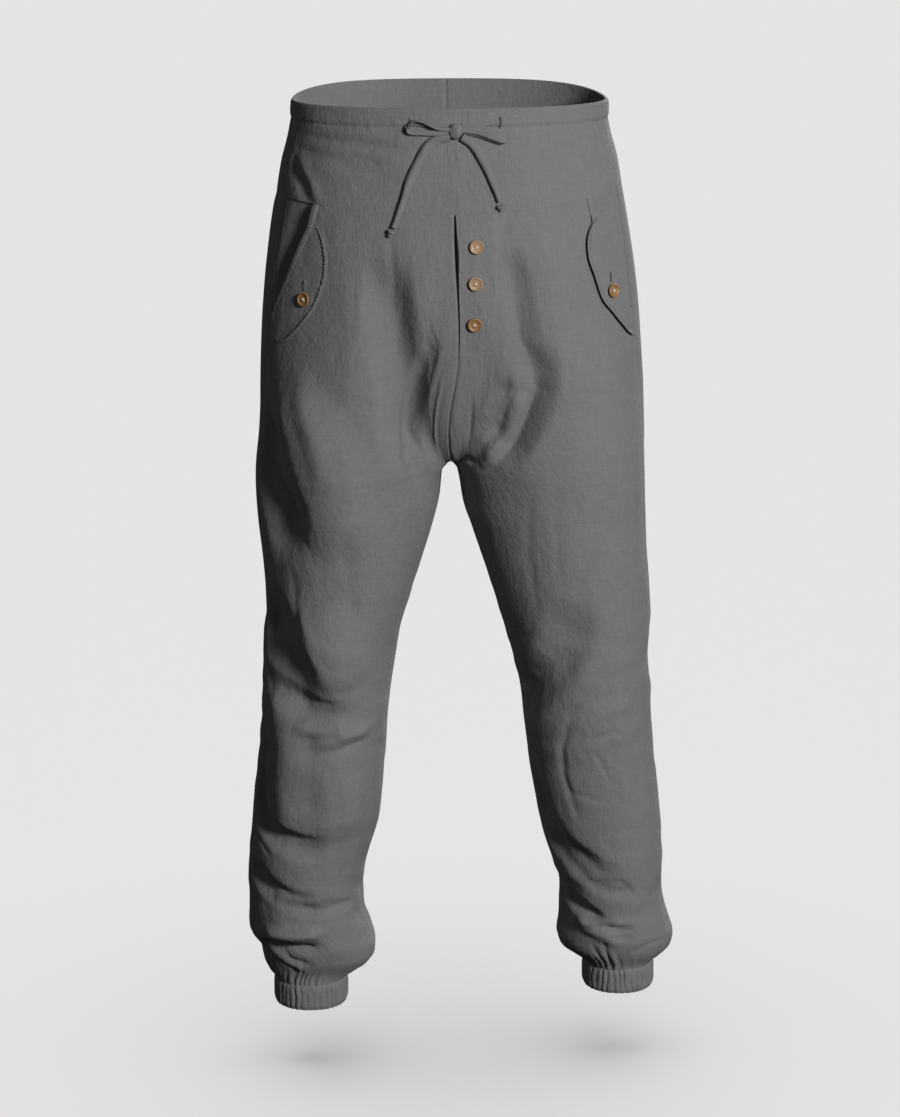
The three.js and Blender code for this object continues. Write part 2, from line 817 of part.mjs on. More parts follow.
function solidOf(geometry) {
  const bare = geometry.index ? geometry.toNonIndexed() : geometry.clone();
  bare.deleteAttribute('normal');
  bare.deleteAttribute('uv');
  const merged = mergeVertices(bare, 1e-4);
  return new wasm.Manifold(
    new wasm.Mesh({
      numProp: 3,
      vertProperties: new Float32Array(merged.getAttribute('position').array),
      triVerts: new Uint32Array(merged.getIndex().array),
    }),
  );
}

function geometryOf(solid) {
  const mesh = solid.getMesh();
  const geometry = new THREE.BufferGeometry();
  geometry.setAttribute('position', new THREE.Float32BufferAttribute(mesh.vertProperties, 3));
  geometry.setIndex(Array.from(mesh.triVerts));
  geometry.computeVertexNormals();
  return geometry;
}

// A turned wooden button with a raised rim and four sewing holes.
function buttonGeometry() {
  const profile = [
    [0, 0],
    [BUTTON_RADIUS - 0.7, 0],
    [BUTTON_RADIUS, 0.8],
    [BUTTON_RADIUS - 0.3, BUTTON_HEIGHT - 0.3],
    [BUTTON_RADIUS - 1.2, BUTTON_HEIGHT],
    [BUTTON_RADIUS - 2.3, BUTTON_HEIGHT - 0.7],
    [0, BUTTON_HEIGHT - 0.9],
  ].map(([r, h]) => new THREE.Vector2(r, h));
  let solid = solidOf(new THREE.LatheGeometry(profile, 18));
  for (const [x, z] of [[1.5, 1.5], [-1.5, 1.5], [-1.5, -1.5], [1.5, -1.5]]) {
    const hole = new THREE.CylinderGeometry(0.85, 0.85, 10, 6);
    hole.translate(x, 1, z);
    solid = solid.subtract(solidOf(hole));
  }
  return geometryOf(solid);
}

// A place in front of the waistband or leg fronts, to hang the drawstring on.
function inFront({ across, down, off }) {
  const side = across < 0 ? RIGHT : LEFT;
  const around = aroundAt(side, 'front', Math.abs(across), down);
  return outside(side, around, down, off);
}

// A flat ribbon along a path, its width upright.
function ribbon(path, width, thick) {
  const curve = new THREE.CatmullRomCurve3(path.map(inFront));
  const steps = path.length * 2;
  const rings = [];
  for (let i = 0; i <= steps; i += 1) {
    const at = curve.getPointAt(i / steps);
    const tangent = curve.getTangentAt(i / steps);
    const up = new THREE.Vector3(0, 0, 1);
    const across = tangent.clone().cross(up).setLength(thick / 2);
    const tall = across.clone().cross(tangent).setLength(width / 2);
    rings.push({ at, across, tall });
  }
  const faces = [1, -1].map((sign) =>
    rings.map(({ at, across, tall }) =>
      [-1, 1].map((edge) => at.clone().addScaledVector(across, sign).addScaledVector(tall, edge)),
    ),
  );
  return wallGeometry(faces[0], faces[1]);
}

// A flat cord with rounded edges along a path.
function cord(path, width, thick) {
  const points = path.map(inFront);
  const curve = new THREE.CatmullRomCurve3(points);
  const section = new THREE.Shape();
  for (let i = 0; i < 8; i += 1) {
    const turn = ((i + 0.5) * Math.PI) / 4;
    const x = (Math.cos(turn) * thick) / 2 / Math.cos(Math.PI / 8);
    const y = (Math.sin(turn) * width) / 2 / Math.cos(Math.PI / 8);
    if (i === 0) section.moveTo(x, y);
    else section.lineTo(x, y);
  }
  section.closePath();
  const steps = Math.round(curve.getLength() / (width * 1.5));
  return new THREE.ExtrudeGeometry(section, { steps, bevelEnabled: false, extrudePath: curve });
}

const group = new THREE.Group();

function add(name, geometry, material) {
  const mesh = new THREE.Mesh(geometry, material);
  mesh.name = name;
  group.add(mesh);
  return mesh;
}

for (const side of [RIGHT, LEFT]) {
  const hand = side === RIGHT ? 'r' : 'l';
  add(`front_leg_${hand}`, panel(side, 'front'), cotton);
  add(`back_leg_${hand}`, panel(side, 'back'), cotton);
  add(`pocket_hip_${hand}`, hipPiece(side), cotton);
  add(`pocket_welt_${hand}`, welt(side), cotton);
  add(`pocket_flap_${hand}`, flap(side), cotton);
  add(`waistband_back_${hand}`, bandPiece(spread(side, 1, 2, 10)), cotton);
  add(`cuff_${hand}`, cuff(side), cotton);
}
add('waistband_front', bandPiece(frontPlaces), cotton);
add('fly_placket', flyPlacket(), cotton);

for (const { name, side, across, down, stand } of BUTTONS) {
  const button = add(name, buttonGeometry(), wood);
  const around = aroundAt(side, 'front', across, down);
  const normal = outward(side, around, down);
  button.position.copy(outside(side, around, down, stand));
  button.quaternion.setFromUnitVectors(new THREE.Vector3(0, 1, 0), normal);
}

for (const name of ['drawstring_loop_r', 'drawstring_loop_l']) {
  add(name, ribbon(TIE_PATHS[name], TIE_WIDTH, 1.6), tieCotton);
}
for (const name of ['drawstring_lead_r', 'drawstring_lead_l']) {
  add(name, ribbon(TIE_PATHS[name], TIE_WIDTH - 2, 1.2), tieCotton);
}
for (const name of ['drawstring_tail_r', 'drawstring_tail_l']) {
  add(name, cord(TIE_PATHS[name], TIE_WIDTH, TIE_THICK), tieCotton);
}
const knot = add('drawstring_knot', new THREE.SphereGeometry(1, 12, 8), tieCotton);
knot.scale.set(KNOT.halfWide, KNOT.halfDeep, KNOT.halfTall);
knot.position.copy(inFront(KNOT));
for (const place of END_KNOTS) {
  const end = add(place.name, new THREE.SphereGeometry(1, 10, 6), tieCotton);
  end.scale.set(4, 2.8, 5);
  end.position.copy(inFront(place));
}

export default group;
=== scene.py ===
import math

import bmesh
import bpy
import numpy as np
from bpy.props import FloatProperty, IntProperty, PointerProperty, StringProperty
from bpy.types import Operator, Panel, PropertyGroup
from mathutils import Matrix, Vector


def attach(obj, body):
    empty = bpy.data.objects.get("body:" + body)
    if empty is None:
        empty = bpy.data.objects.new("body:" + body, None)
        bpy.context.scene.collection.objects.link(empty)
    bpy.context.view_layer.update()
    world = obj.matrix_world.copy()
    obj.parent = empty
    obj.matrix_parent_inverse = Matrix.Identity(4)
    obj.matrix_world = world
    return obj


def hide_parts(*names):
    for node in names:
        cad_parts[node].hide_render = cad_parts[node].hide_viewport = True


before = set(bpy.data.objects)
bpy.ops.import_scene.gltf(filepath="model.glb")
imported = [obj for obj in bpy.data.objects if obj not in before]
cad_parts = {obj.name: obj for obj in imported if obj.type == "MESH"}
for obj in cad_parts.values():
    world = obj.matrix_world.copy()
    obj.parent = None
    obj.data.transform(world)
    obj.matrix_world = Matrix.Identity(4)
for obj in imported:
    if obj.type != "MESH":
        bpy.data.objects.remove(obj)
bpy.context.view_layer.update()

bl_info = {
    "name": "Harem Pants",
    "version": (1, 0, 0),
    "blender": (4, 5, 0),
    "location": "3D View > Sidebar > Harem Pants",
    "description": "Makes the cloth, drawstring, buttons and stitching of a pair of harem pants",
    "category": "Object",
}

MM = 0.001
RIGHT = -1
LEFT = 1
HANDS = {RIGHT: "r", LEFT: "l"}


def table(names, rows):
    """The columns of a table of numbers, by name."""
    columns = np.array(rows, float).T
    return dict(zip(names.split(), columns))


# Thickness of the cloth and the waistband, as in the solids, and the gap at a seam.
CLOTH = 1.6
BAND = 2.4
SEAM = 0.1
# The side seams lie this far to the back of the sides.
SEAM_TURN = math.radians(14)
# Heights of the crotch, of where the rings start to part, of the yoke seam and of the back's rim.
CROTCH = -398
PARTING = -190
YOKE_FRONT = -111
YOKE_BACK = -104
BACK_RISE = 11
# Depth of the waist from its middle, and powers of the rounded ellipses: 2 is a true ellipse.
WAIST_DEPTH = 112
TORSO_ROUND = 2.25
LEG_ROUND = 2.15
# Rows and columns of the meshes.
THIGH_ROWS = 46
LEG_ROWS = 264
PANEL_COLUMNS = 112
TAPE_ROWS = 120
TAPE_COLUMNS = 6
HIP_GRID = (44, 30)
WELT_GRID = (72, 12)
FLAP_GRID = (260, 44)
PLACKET_GRID = (104, 40)
BAND_COLUMNS = 100
CUFF_ROWS = 26
FLUTE_COLUMNS = 9
TIE_POINTS = 40
TIE_SIDES = 18
LOOP_POINTS = 60
LOOP_SIDES = 16
LEAD_POINTS = 24
LEAD_SIDES = 12
KNOT_POINTS = 48
KNOT_SIDES = 20
BUTTON_SIDES = 56
# Faces that meet at more than this keep a sharp edge.
SHARP_ANGLE = math.radians(60)
# The crinkle fades within this distance of a seam, and the side seam is a narrow dent.
SEAM_FADE = 14
SEAM_DENT = 0.6
SEAM_DENT_HALF = 2.2
# The fly gapes most at this height and over this half length.
FLY_MIDDLE = -156
FLY_REACH = 34
# The front middle sways less and less over this distance from it.
SWAY_REACH = 38
# Gathers in half a turn of the leg, and their least and added height above the cuff.
GATHERS = 19
GATHER_HEIGHT = 26
GATHER_UNEVEN = 16
# Drawstring: thickness of the loops and tails, half width of the leads, step of its threads.
LOOP_THICK = 1.5
TAIL_THICK = 3.8
LEAD_HALF = 2.7
TIE_STEP = 0.9
# Half measures of a stitch: length as a share of the pitch, width, thickness; and how it stands off.
STITCH_SHARE = 0.34
STITCH_WIDE = 0.34
STITCH_THICK = 0.3
STITCH_STAND = 0.12
# A button's holes: distance from its middle across and up, and radius.
HOLE_PLACE = 1.5
HOLE_RADIUS = 0.85
# Half measures of a buttonhole, of its slit (a near-black sheet of painted shade) and of the thread
# round it.
HOLE_TALL = 5.6
HOLE_WIDE = 0.95
SLIT_TALL = 5
THREAD_WIDE = 0.45
THREAD_THICK = 0.28
# Threads of a cuff run over this length in half a turn.
CUFF_TURN = 140
# Columns or depths that the stitches follow, in millimetres but for the strip's columns.
STRIP_LINES = (("inner", 2), ("outer", 9))
FLAP_LINE = 6.2
CASING_LINE = 20.2
RIM_LINE = 3
# The waistband's casing, and the height of the rest of the band as it is drawn.
CASING = 26
BAND_REST = 87
# Half the floor's width in metres.
FLOOR_HALF = 40
# A wave texture repeats every 0.314 metres at a scale of 1.
WAVE_STEP = 0.314

# Half widths from the middle: outer silhouette and inner leg edge.
SECTIONS = {
    RIGHT: table("down outer inner", [
        (15, 171, 0), (-20, 173, 0), (-67, 184, 0), (-255, 209.5, 0), (-368, 212.5, 0), (-398, 216, 0),
        (-408, 217, 8.5), (-440, 216, 12.5), (-560, 206, 49.5), (-592, 209, 58), (-675, 211.5, 70),
        (-801, 224, 80), (-886, 229.5, 99.5), (-914, 229.5, 98.5), (-938, 229.4, 91), (-958, 217, 86),
        (-968, 215, 87), (-978, 212, 95), (-986, 207, 109), (-995, 200.5, 119.5), (-1040, 200.5, 119.5),
    ]),
    LEFT: table("down outer inner", [
        (15, 170, 0), (-20, 171.5, 0), (-67, 182.5, 0), (-222, 206.5, 0), (-368, 216, 0),
        (-398, 216, 0), (-408, 216.4, 7), (-448, 217, 14.6), (-476, 217.5, 24.3), (-576, 223.3, 56.8),
        (-618, 221.5, 69), (-660, 224.7, 78.7), (-702, 227.2, 83.3), (-831, 241, 105.4),
        (-874, 243, 119), (-896, 242.7, 126.6), (-940, 252, 126.4), (-958, 257, 124.3),
        (-968, 255, 127.5), (-978, 246, 142), (-988, 233, 154.3), (-1040, 233, 154.3),
    ]),
}

# Front and back of the same sections, before the lean of each leg.
DEPTHS = table("down front back", [
    (15, -112, 112), (0, -112, 112), (-60, -119, 117), (-110, -126, 126), (-160, -130, 140),
    (-220, -130, 150), (-280, -128, 147), (-340, -124, 138), (-398, -120, 124), (-450, -114, 110),
    (-520, -107, 93), (-600, -100, 77), (-680, -93, 68), (-760, -82, 74), (-840, -72, 82),
    (-900, -66, 84), (-945, -64, 78), (-968, -58, 66), (-988, -48, 48), (-1040, -48, 48),
])

# How each leg stands: lean of the ankle, yoke seam at the side, cuff.
LEAN = {RIGHT: -12, LEFT: 8}
YOKE_SIDE = {RIGHT: -99.5, LEFT: -91}
CUFF_TOP = {RIGHT: -995, LEFT: -988}
CUFF_BOTTOM = {RIGHT: -1024.5, LEFT: -1017}

# Slanted pocket opening.
POCKET_END = -222
# The front panel widens to the side seam within this height below the opening.
LEDGE = 1.2
POCKET_LINE = table("down around", [
    (-80, 0.785), (-104, 0.797), (-130, 0.812), (-175, 0.89), (-222, 0.972), (-230, 0.972),
])

# Hip piece behind the opening: how far it runs under the front panel and how deep it lies there.
HIP_ROWS = table("down under depth", [
    (-90, 12, 3.8), (-143, 12, 4.5), (-183, 12, 4.2), (-199, 5, 3.7), (-203, -2, 3.3),
    (-220.3, -1.2, 0.5),
])

# Pocket flaps: the free edge and the height it folds from.
WELT_WIDTH = 6.4
FLAP_GAP = 0.3
WELT_HEIGHT = {RIGHT: 1.6, LEFT: 0.7}
FLAP_EDGE = {
    RIGHT: table("across down fold", [
        (145, -129, -121), (140, -138, -130), (137, -148, -142), (135, -163, -160), (136, -178, -178),
        (141, -196, -196), (148, -213, -211), (160, -231, -225), (171, -245, -236), (180, -254, -243),
        (187, -257, -248),
    ]),
    LEFT: table("across down fold", [
        (153, -121, -117), (147, -127, -123), (143, -135, -132), (141, -147, -147), (142, -160, -161),
        (149, -182, -181), (158, -208, -203), (169, -223, -216), (181, -239, -230), (189, -249, -240),
        (196, -254, -247),
    ]),
}
FLAP_LIFT = {RIGHT: 0.8, LEFT: 2.6}

# Fly placket: its two edges at each height.
FLY_ROWS = table("down edge width", [
    (-111.8, 0.4, 46), (-132, 1.2, 46), (-155, 2.6, 46), (-178, 1.4, 46), (-200, 0.6, 46),
    (-215, 0.4, 45), (-235, 0.4, 39), (-250, 0.4, 28), (-261, 0.4, 15), (-268, 0.4, 4),
])

# The front middle seam wanders sideways as the cloth hangs from it.
SEAM_SWAY = table("down shift", [
    (-112, 0), (-150, 0.8), (-195, 3), (-232, 4.4), (-270, 3.6), (-300, 0), (-330, -4.4), (-352, -5.6),
    (-372, -4.4), (-386, -2), (-400, 0),
])

# Waistband: distance below the rim and how far the cloth stands out there.
BAND_PROFILE = table("drop out", [
    (0, 0.4), (1.5, 1.3), (4, 1.6), (10, 1.7), (16, 1.4), (19, 0.3), (20.2, -0.3), (22, 0.3), (27, 0.6),
    (60, 0.3), (100, 0),
])

# Buttons: side, across, down, how far they stand off the cloth, turn in degrees and wood.
BUTTONS = {
    "fly_button_1": (LEFT, 22, -145, 2.6, 8, "pale_wood"),
    "fly_button_2": (LEFT, 21, -184, 2.6, -5, "pale_wood"),
    "fly_button_3": (LEFT, 20, -228, 2.6, 31, "brown_wood"),
    "pocket_button_r": (RIGHT, 160, -206, 2.8, 14, "brown_wood"),
    "pocket_button_l": (LEFT, 170, -200, 2.8, 40, "brown_wood"),
}

# Buttonholes: side, across, down and how far they stand off the cloth.
BUTTONHOLES = {
    "flap_buttonhole_r": (RIGHT, 159, -191, 2.6),
    "flap_buttonhole_l": (LEFT, 168, -185, 2.9),
    "casing_buttonhole_r": (RIGHT, 48, -15, 1.7),
    "casing_buttonhole_l": (LEFT, 48, -15, 1.7),
}

# Largest folds, as in the solids: width, height (a trough is below 0), then places on the fold.
BROAD_FOLDS = {
    (RIGHT, "front"): [
        (38, -17, (74, -150), (70, -215), (56, -280), (44, -340), (36, -400)),
        (18, -9, (38, -226), (31, -260), (39, -320), (42, -380), (32, -440)),
        (46, 12, (188, -290), (158, -350), (132, -410), (118, -500)),
        (44, -14, (228, -326), (204, -385), (188, -440), (180, -505)),
        (46, 9, (168, -550), (130, -600), (119, -645)),
        (42, -12, (218, -540), (188, -600), (170, -655), (160, -690)),
        (20, -7, (214, -628), (182, -655), (150, -668), (114, -668)),
        (14, 5, (180, -680), (150, -684), (112, -682)),
        (13, 4, (160, -704), (91, -685)),
        (46, 8, (152, -700), (134, -760), (128, -824)),
        (30, 7, (188, -660), (186, -740), (180, -820)),
        (26, -9, (218, -680), (217, -740), (214, -800)),
        (20, -10, (226, -782), (204, -812), (172, -824), (140, -828)),
        (18, -9, (228, -850), (204, -880), (176, -892), (138, -896)),
        (12, 4, (208, -884), (140, -892)),
        (9, -4, (174, -904), (112, -898)),
        (13, 8, (214, -932), (144, -927)),
        (9, -7, (210, -950), (148, -945)),
    ],
    (LEFT, "front"): [
        (26, -16, (88, -246), (86, -300), (66, -346), (42, -390)),
        (13, 7, (74, -300), (52, -354), (32, -388)),
        (24, -6, (60, -286), (46, -334), (34, -366)),
        (40, 5, (82, -124), (101, -190), (108, -262), (112, -340)),
        (24, -6, (52, -140), (66, -206), (74, -290)),
        (33, -10, (144, -536), (112, -618), (74, -684)),
        (26, -12, (84, -715), (96, -780), (120, -838), (188, -884)),
        (14, 4, (120, -838), (170, -878)),
        (12, -7, (130, -900), (174, -926)),
        (10, -3, (150, -884), (206, -892)),
        (13, 5, (140, -925), (196, -952)),
    ],
    (RIGHT, "back"): [
        (26, 5, (60, -300), (190, -330)),
        (18, -6, (40, -345), (180, -395)),
        (20, -6, (120, -600), (200, -660)),
        (16, 5, (110, -640), (195, -640)),
        (16, -5, (120, -720), (200, -690)),
        (14, -6, (130, -850), (210, -890)),
        (13, 6, (125, -915), (205, -925)),
        (9, -5, (130, -955), (200, -950)),
    ],
    (LEFT, "back"): [
        (24, 5, (50, -290), (185, -340)),
        (18, -6, (45, -350), (190, -385)),
        (18, -6, (110, -620), (205, -640)),
        (16, 5, (120, -670), (205, -665)),
        (15, -5, (125, -730), (215, -700)),
        (14, -6, (150, -860), (225, -880)),
        (13, 5, (150, -910), (235, -920)),
        (9, -5, (155, -950), (230, -945)),
    ],
}

# Creases: width, height and how sharp its bottom or crest is, then the places it runs through.
CREASES = {
    (RIGHT, "front"): [
        (8, -2.4, 0.8, (31, -228), (22, -254), (28, -294), (36, -350), (28, -431)),
        (7, 2.2, 0.6, (15, -289), (14, -377)),
        (10, -1.4, 0.5, (70, -132), (66, -180), (70, -212)),
        (16, 2.2, 0.4, (163, -297), (150, -350), (144, -399)),
        (14, -2.0, 0.3, (176, -300), (162, -360), (152, -410)),
        (10, -3.0, 0.7, (213, -376), (185, -425), (156, -483)),
        (10, 2.4, 0.5, (208, -395), (180, -440), (159, -468)),
        (9, -1.6, 0.6, (178, -505), (172, -560), (150, -600)),
        (12, 2.6, 0.5, (171, -541), (158, -590), (143, -632)),
        (7, -2.8, 0.8, (176, -646), (150, -655), (126, -655)),
        (9, 2.2, 0.5, (154, -703), (120, -692), (91, -685)),
        (6, -1.6, 0.7, (150, -716), (118, -704), (95, -700)),
        (9, -2.0, 0.4, (213, -701), (210, -760), (204, -800)),
        (8, -2.6, 0.7, (206, -802), (180, -814), (150, -816)),
        (7, -2.2, 0.7, (206, -870), (184, -882), (154, -886)),
        (7, -2.2, 0.8, (174, -904), (145, -892), (109, -900)),
        (5, -6.0, 0.9, (212, -945), (180, -947), (148, -943)),
        (9, 3.0, 0.3, (212, -930), (180, -929), (146, -926)),
        (6, 2.6, 0.5, (208, -952), (190, -965), (166, -976)),
        (5, -2.8, 0.7, (200, -950), (180, -962), (160, -968)),
        (5, -1.6, 0.8, (105, -917), (90, -947)),
        (6, -2.0, 0.7, (199, -962), (173, -979)),
        (6, -2.0, 0.7, (220, -819), (205, -839)),
        (14, -1.2, 0.5, (100, -318), (72, -322)),
        (18, 1.6, 0.2, (120, -160), (112, -260), (120, -330)),
        (16, -1.4, 0.3, (92, -140), (86, -210), (90, -290)),
        (13, -1.2, 0.4, (120, -470), (112, -560), (118, -640)),
        (12, -1.2, 0.4, (134, -740), (128, -800), (134, -850)),
    ],
    (LEFT, "front"): [
        (13, -1.8, 0.3, (57, -296), (47, -334), (38, -366)),
        (7, -4.0, 0.6, (5, -397), (16, -385), (27, -388)),
        (8, 2.6, 0.5, (74, -315), (58, -352), (34, -388)),
        (9, -3.0, 0.7, (90, -300), (68, -342), (44, -388)),
        (8, -2.6, 0.5, (21, -315), (22, -340), (21, -363)),
        (11, -1.4, 0.6, (62, -200), (70, -245), (88, -275)),
        (14, -1.6, 0.4, (150, -561), (124, -627), (92, -676)),
        (9, -2.8, 0.6, (133, -667), (121, -714), (123, -747), (138, -792)),
        (12, -1.8, 0.5, (94, -737), (114, -805), (145, -839), (180, -859)),
        (6, -1.6, 0.8, (156, -703), (176, -695), (192, -697)),
        (6, -1.4, 0.8, (156, -718), (166, -732), (172, -750)),
        (6, -1.4, 0.8, (130, -768), (150, -772), (168, -778)),
        (10, -4.0, 0.8, (128, -894), (150, -908), (176, -926)),
        (8, -2.2, 0.7, (149, -881), (191, -878), (207, -896)),
        (6, -3.2, 0.8, (145, -936), (172, -932), (204, -936)),
        (7, 2.2, 0.4, (150, -928), (176, -925), (210, -928)),
        (6, -2.0, 0.8, (180, -944), (206, -946)),
        (5, -2.6, 0.7, (172, -950), (176, -966), (182, -979)),
        (5, -2.2, 0.7, (160, -956), (168, -970), (176, -981)),
        (5, -2.2, 0.8, (206, -962), (228, -956), (244, -955)),
        (9, -1.0, 0.5, (84, -410), (80, -480), (92, -560)),
        (8, -0.9, 0.5, (112, -400), (110, -470), (118, -540)),
        (14, -1.2, 0.3, (150, -300), (158, -400), (150, -500)),
        (14, 1.2, 0.3, (180, -620), (186, -720), (200, -800)),
    ],
    (RIGHT, "back"): [
        (16, -2.6, 0.6, (30, -200), (60, -290), (120, -350)),
        (10, -3.0, 0.7, (12, -320), (60, -372), (150, -400)),
        (9, 2.2, 0.5, (20, -345), (70, -392), (150, -425)),
        (12, -2.4, 0.6, (200, -420), (150, -470), (100, -500)),
        (9, -2.6, 0.8, (118, -596), (150, -620), (196, -640)),
        (8, -2.4, 0.8, (112, -655), (150, -662), (190, -652)),
        (8, 2.0, 0.5, (120, -640), (160, -644), (200, -630)),
        (8, -2.2, 0.7, (120, -722), (160, -712), (204, -690)),
        (12, -1.8, 0.5, (150, -740), (160, -790), (150, -840)),
        (7, -3.0, 0.8, (128, -852), (170, -872), (212, -886)),
        (6, -3.2, 0.8, (116, -934), (160, -940), (206, -936)),
        (6, -2.2, 0.7, (130, -900), (170, -906), (214, -900)),
        (5, -2.4, 0.7, (140, -958), (150, -972), (156, -984)),
        (5, -2.4, 0.7, (182, -956), (176, -970), (172, -984)),
    ],
    (LEFT, "back"): [
        (16, -2.6, 0.6, (34, -210), (70, -300), (130, -344)),
        (10, -3.0, 0.7, (14, -330), (66, -380), (160, -396)),
        (9, 2.2, 0.5, (24, -352), (80, -400), (160, -418)),
        (12, -2.2, 0.6, (206, -450), (160, -500), (104, -520)),
        (9, -2.6, 0.8, (112, -616), (150, -630), (204, -628)),
        (8, -2.4, 0.8, (120, -684), (160, -682), (210, -668)),
        (8, 2.0, 0.5, (118, -668), (160, -666), (206, -652)),
        (8, -2.2, 0.7, (130, -736), (170, -722), (220, -700)),
        (12, -1.8, 0.5, (166, -750), (176, -800), (170, -850)),
        (7, -3.0, 0.8, (148, -862), (190, -876), (232, -880)),
        (6, -3.2, 0.8, (146, -928), (190, -936), (240, -930)),
        (6, -2.2, 0.7, (156, -896), (196, -900), (236, -894)),
        (5, -2.4, 0.7, (176, -954), (182, -968), (186, -980)),
        (5, -2.4, 0.7, (214, -952), (208, -966), (204, -980)),
    ],
}

# Free ends of the drawstring, as places in front of the cloth, with the knot at the end of each.
TIE_WIDTH = 10
TAILS = {
    RIGHT: table("across down off", [
        (-5.2, -30.6, 4.2), (-20, -33, 4), (-30.3, -42, 3.9), (-40.6, -60, 3.8), (-48.9, -78, 3.7),
        (-54.1, -94, 3.5), (-61.5, -115.5, 3.2), (-65.5, -125, 3),
    ]),
    LEFT: table("across down off", [
        (7, -30.6, 4.2), (17.5, -38, 4), (27, -51.4, 3.9), (37.2, -73, 3.7), (44, -90, 3.4),
        (46.6, -98.5, 3),
    ]),
}
END_KNOTS = {RIGHT: (-67.6, -129.7, 3.2), LEFT: (47.6, -103.7, 3.2)}

# The bow: places along each loop, half the tie's width there, and which way its width turns.
LOOPS = {
    RIGHT: table("across down off half tilt", [
        (-4, -22, 6, 2.2, 0.9), (-18, -20.5, 6.6, 2.6, 0.8), (-32, -14.5, 7, 3, 0.35),
        (-41, -12.8, 7, 3.3, 0.2), (-48, -16.5, 6.4, 3.4, 0.3), (-50, -21.5, 5.6, 3.2, 0.7),
        (-46, -25, 4.8, 3, 1), (-34, -25.6, 4.3, 3, 1.1), (-20, -25.8, 4.3, 2.8, 1.1),
        (-4, -24.5, 4.6, 2.2, 1.1),
    ]),
    LEFT: table("across down off half tilt", [
        (6, -22.5, 7.6, 3, 1.4), (22, -23, 8.2, 4.4, 1.5), (37, -26.5, 8.6, 6.2, 1.5),
        (47, -29.5, 8, 7, 1.45), (51.5, -31, 6.4, 7, 1.4), (48, -31.5, 4.9, 6.6, 1.4),
        (37, -29, 4.5, 5.4, 1.45), (22, -25.5, 4.4, 4, 1.5), (6, -23.5, 4.4, 3, 1.5),
    ]),
}
LEADS = {
    RIGHT: [(-47, -15, 2.5), (-34, -16.5, 2.5), (-20, -18.5, 2.5), (-6, -20.5, 2.5)],
    LEFT: [(47, -15, 2.5), (34, -16.5, 2.5), (20, -18.5, 2.5), (8, -20.5, 2.5)],
}
KNOT = (1, -24, 5.7)


def smooth(t):
    """0 below 0, 1 above 1, and a soft step between."""
    k = np.clip(t, 0, 1)
    return k * k * (3 - 2 * k)


def mix(a, b, t):
    return a + (b - a) * t


def hump(x, middle, width):
    """1 at the middle, fading on both sides of it."""
    return np.exp(-(((x - middle) / width) ** 2))


def edge_of(around):
    """Turns from the front or back middle: 0 there and 1 at the side seam."""
    return np.where(around <= 1, around, 2 - around)


def run_of(path):
    """Distance along a path from its start to each of its points."""
    return np.concatenate(([0], np.cumsum(np.linalg.norm(np.diff(path, axis=0), axis=1))))


def along_path(path, lengths):
    """Points of a path at given distances from its start."""
    run = run_of(path)
    return np.stack([np.interp(lengths, run, column) for column in path.T], -1)


def full_turn(count):
    return np.linspace(0, 2 * math.pi, count, endpoint=False)


def curve(rows, key, value):
    """A smooth curve through a table's rows that never overshoots them."""
    order = np.argsort(rows[key])
    xs = rows[key][order]
    ys = rows[value][order]
    steps = np.diff(xs)
    slopes = np.diff(ys) / steps
    tangents = np.concatenate(([slopes[0]], np.zeros(len(xs) - 2), [slopes[-1]]))
    product = slopes[:-1] * slopes[1:]
    total = np.where(product > 0, slopes[:-1] + slopes[1:], 1)
    tangents[1:-1] = np.where(product > 0, 2 * product / total, 0)

    def at(value_at):
        x = np.clip(value_at, xs[0], xs[-1])
        i = np.clip(np.searchsorted(xs, x, side="right") - 1, 0, len(steps) - 1)
        t = (x - xs[i]) / steps[i]
        return (
            ys[i] * (1 + 2 * t) * (1 - t) ** 2
            + tangents[i] * steps[i] * t * (1 - t) ** 2
            + ys[i + 1] * t * t * (3 - 2 * t)
            + tangents[i + 1] * steps[i] * t * t * (t - 1)
        )

    return at


def lines(rows, key, value):
    """Straight lines through a table's rows."""
    order = np.argsort(rows[key])
    return lambda at: np.interp(at, rows[key][order], rows[value][order])


OUTER = {side: curve(rows, "down", "outer") for side, rows in SECTIONS.items()}
INNER = {side: curve(rows, "down", "inner") for side, rows in SECTIONS.items()}
FRONT = curve(DEPTHS, "down", "front")
BACK = curve(DEPTHS, "down", "back")
POCKET_TURN = lines(POCKET_LINE, "down", "around")


def reach(cos, sin, a, b, power):
    """Distance from the middle of a rounded ellipse to its edge."""
    return (np.abs(cos / a) ** power + np.abs(sin / b) ** power) ** (-1 / power)


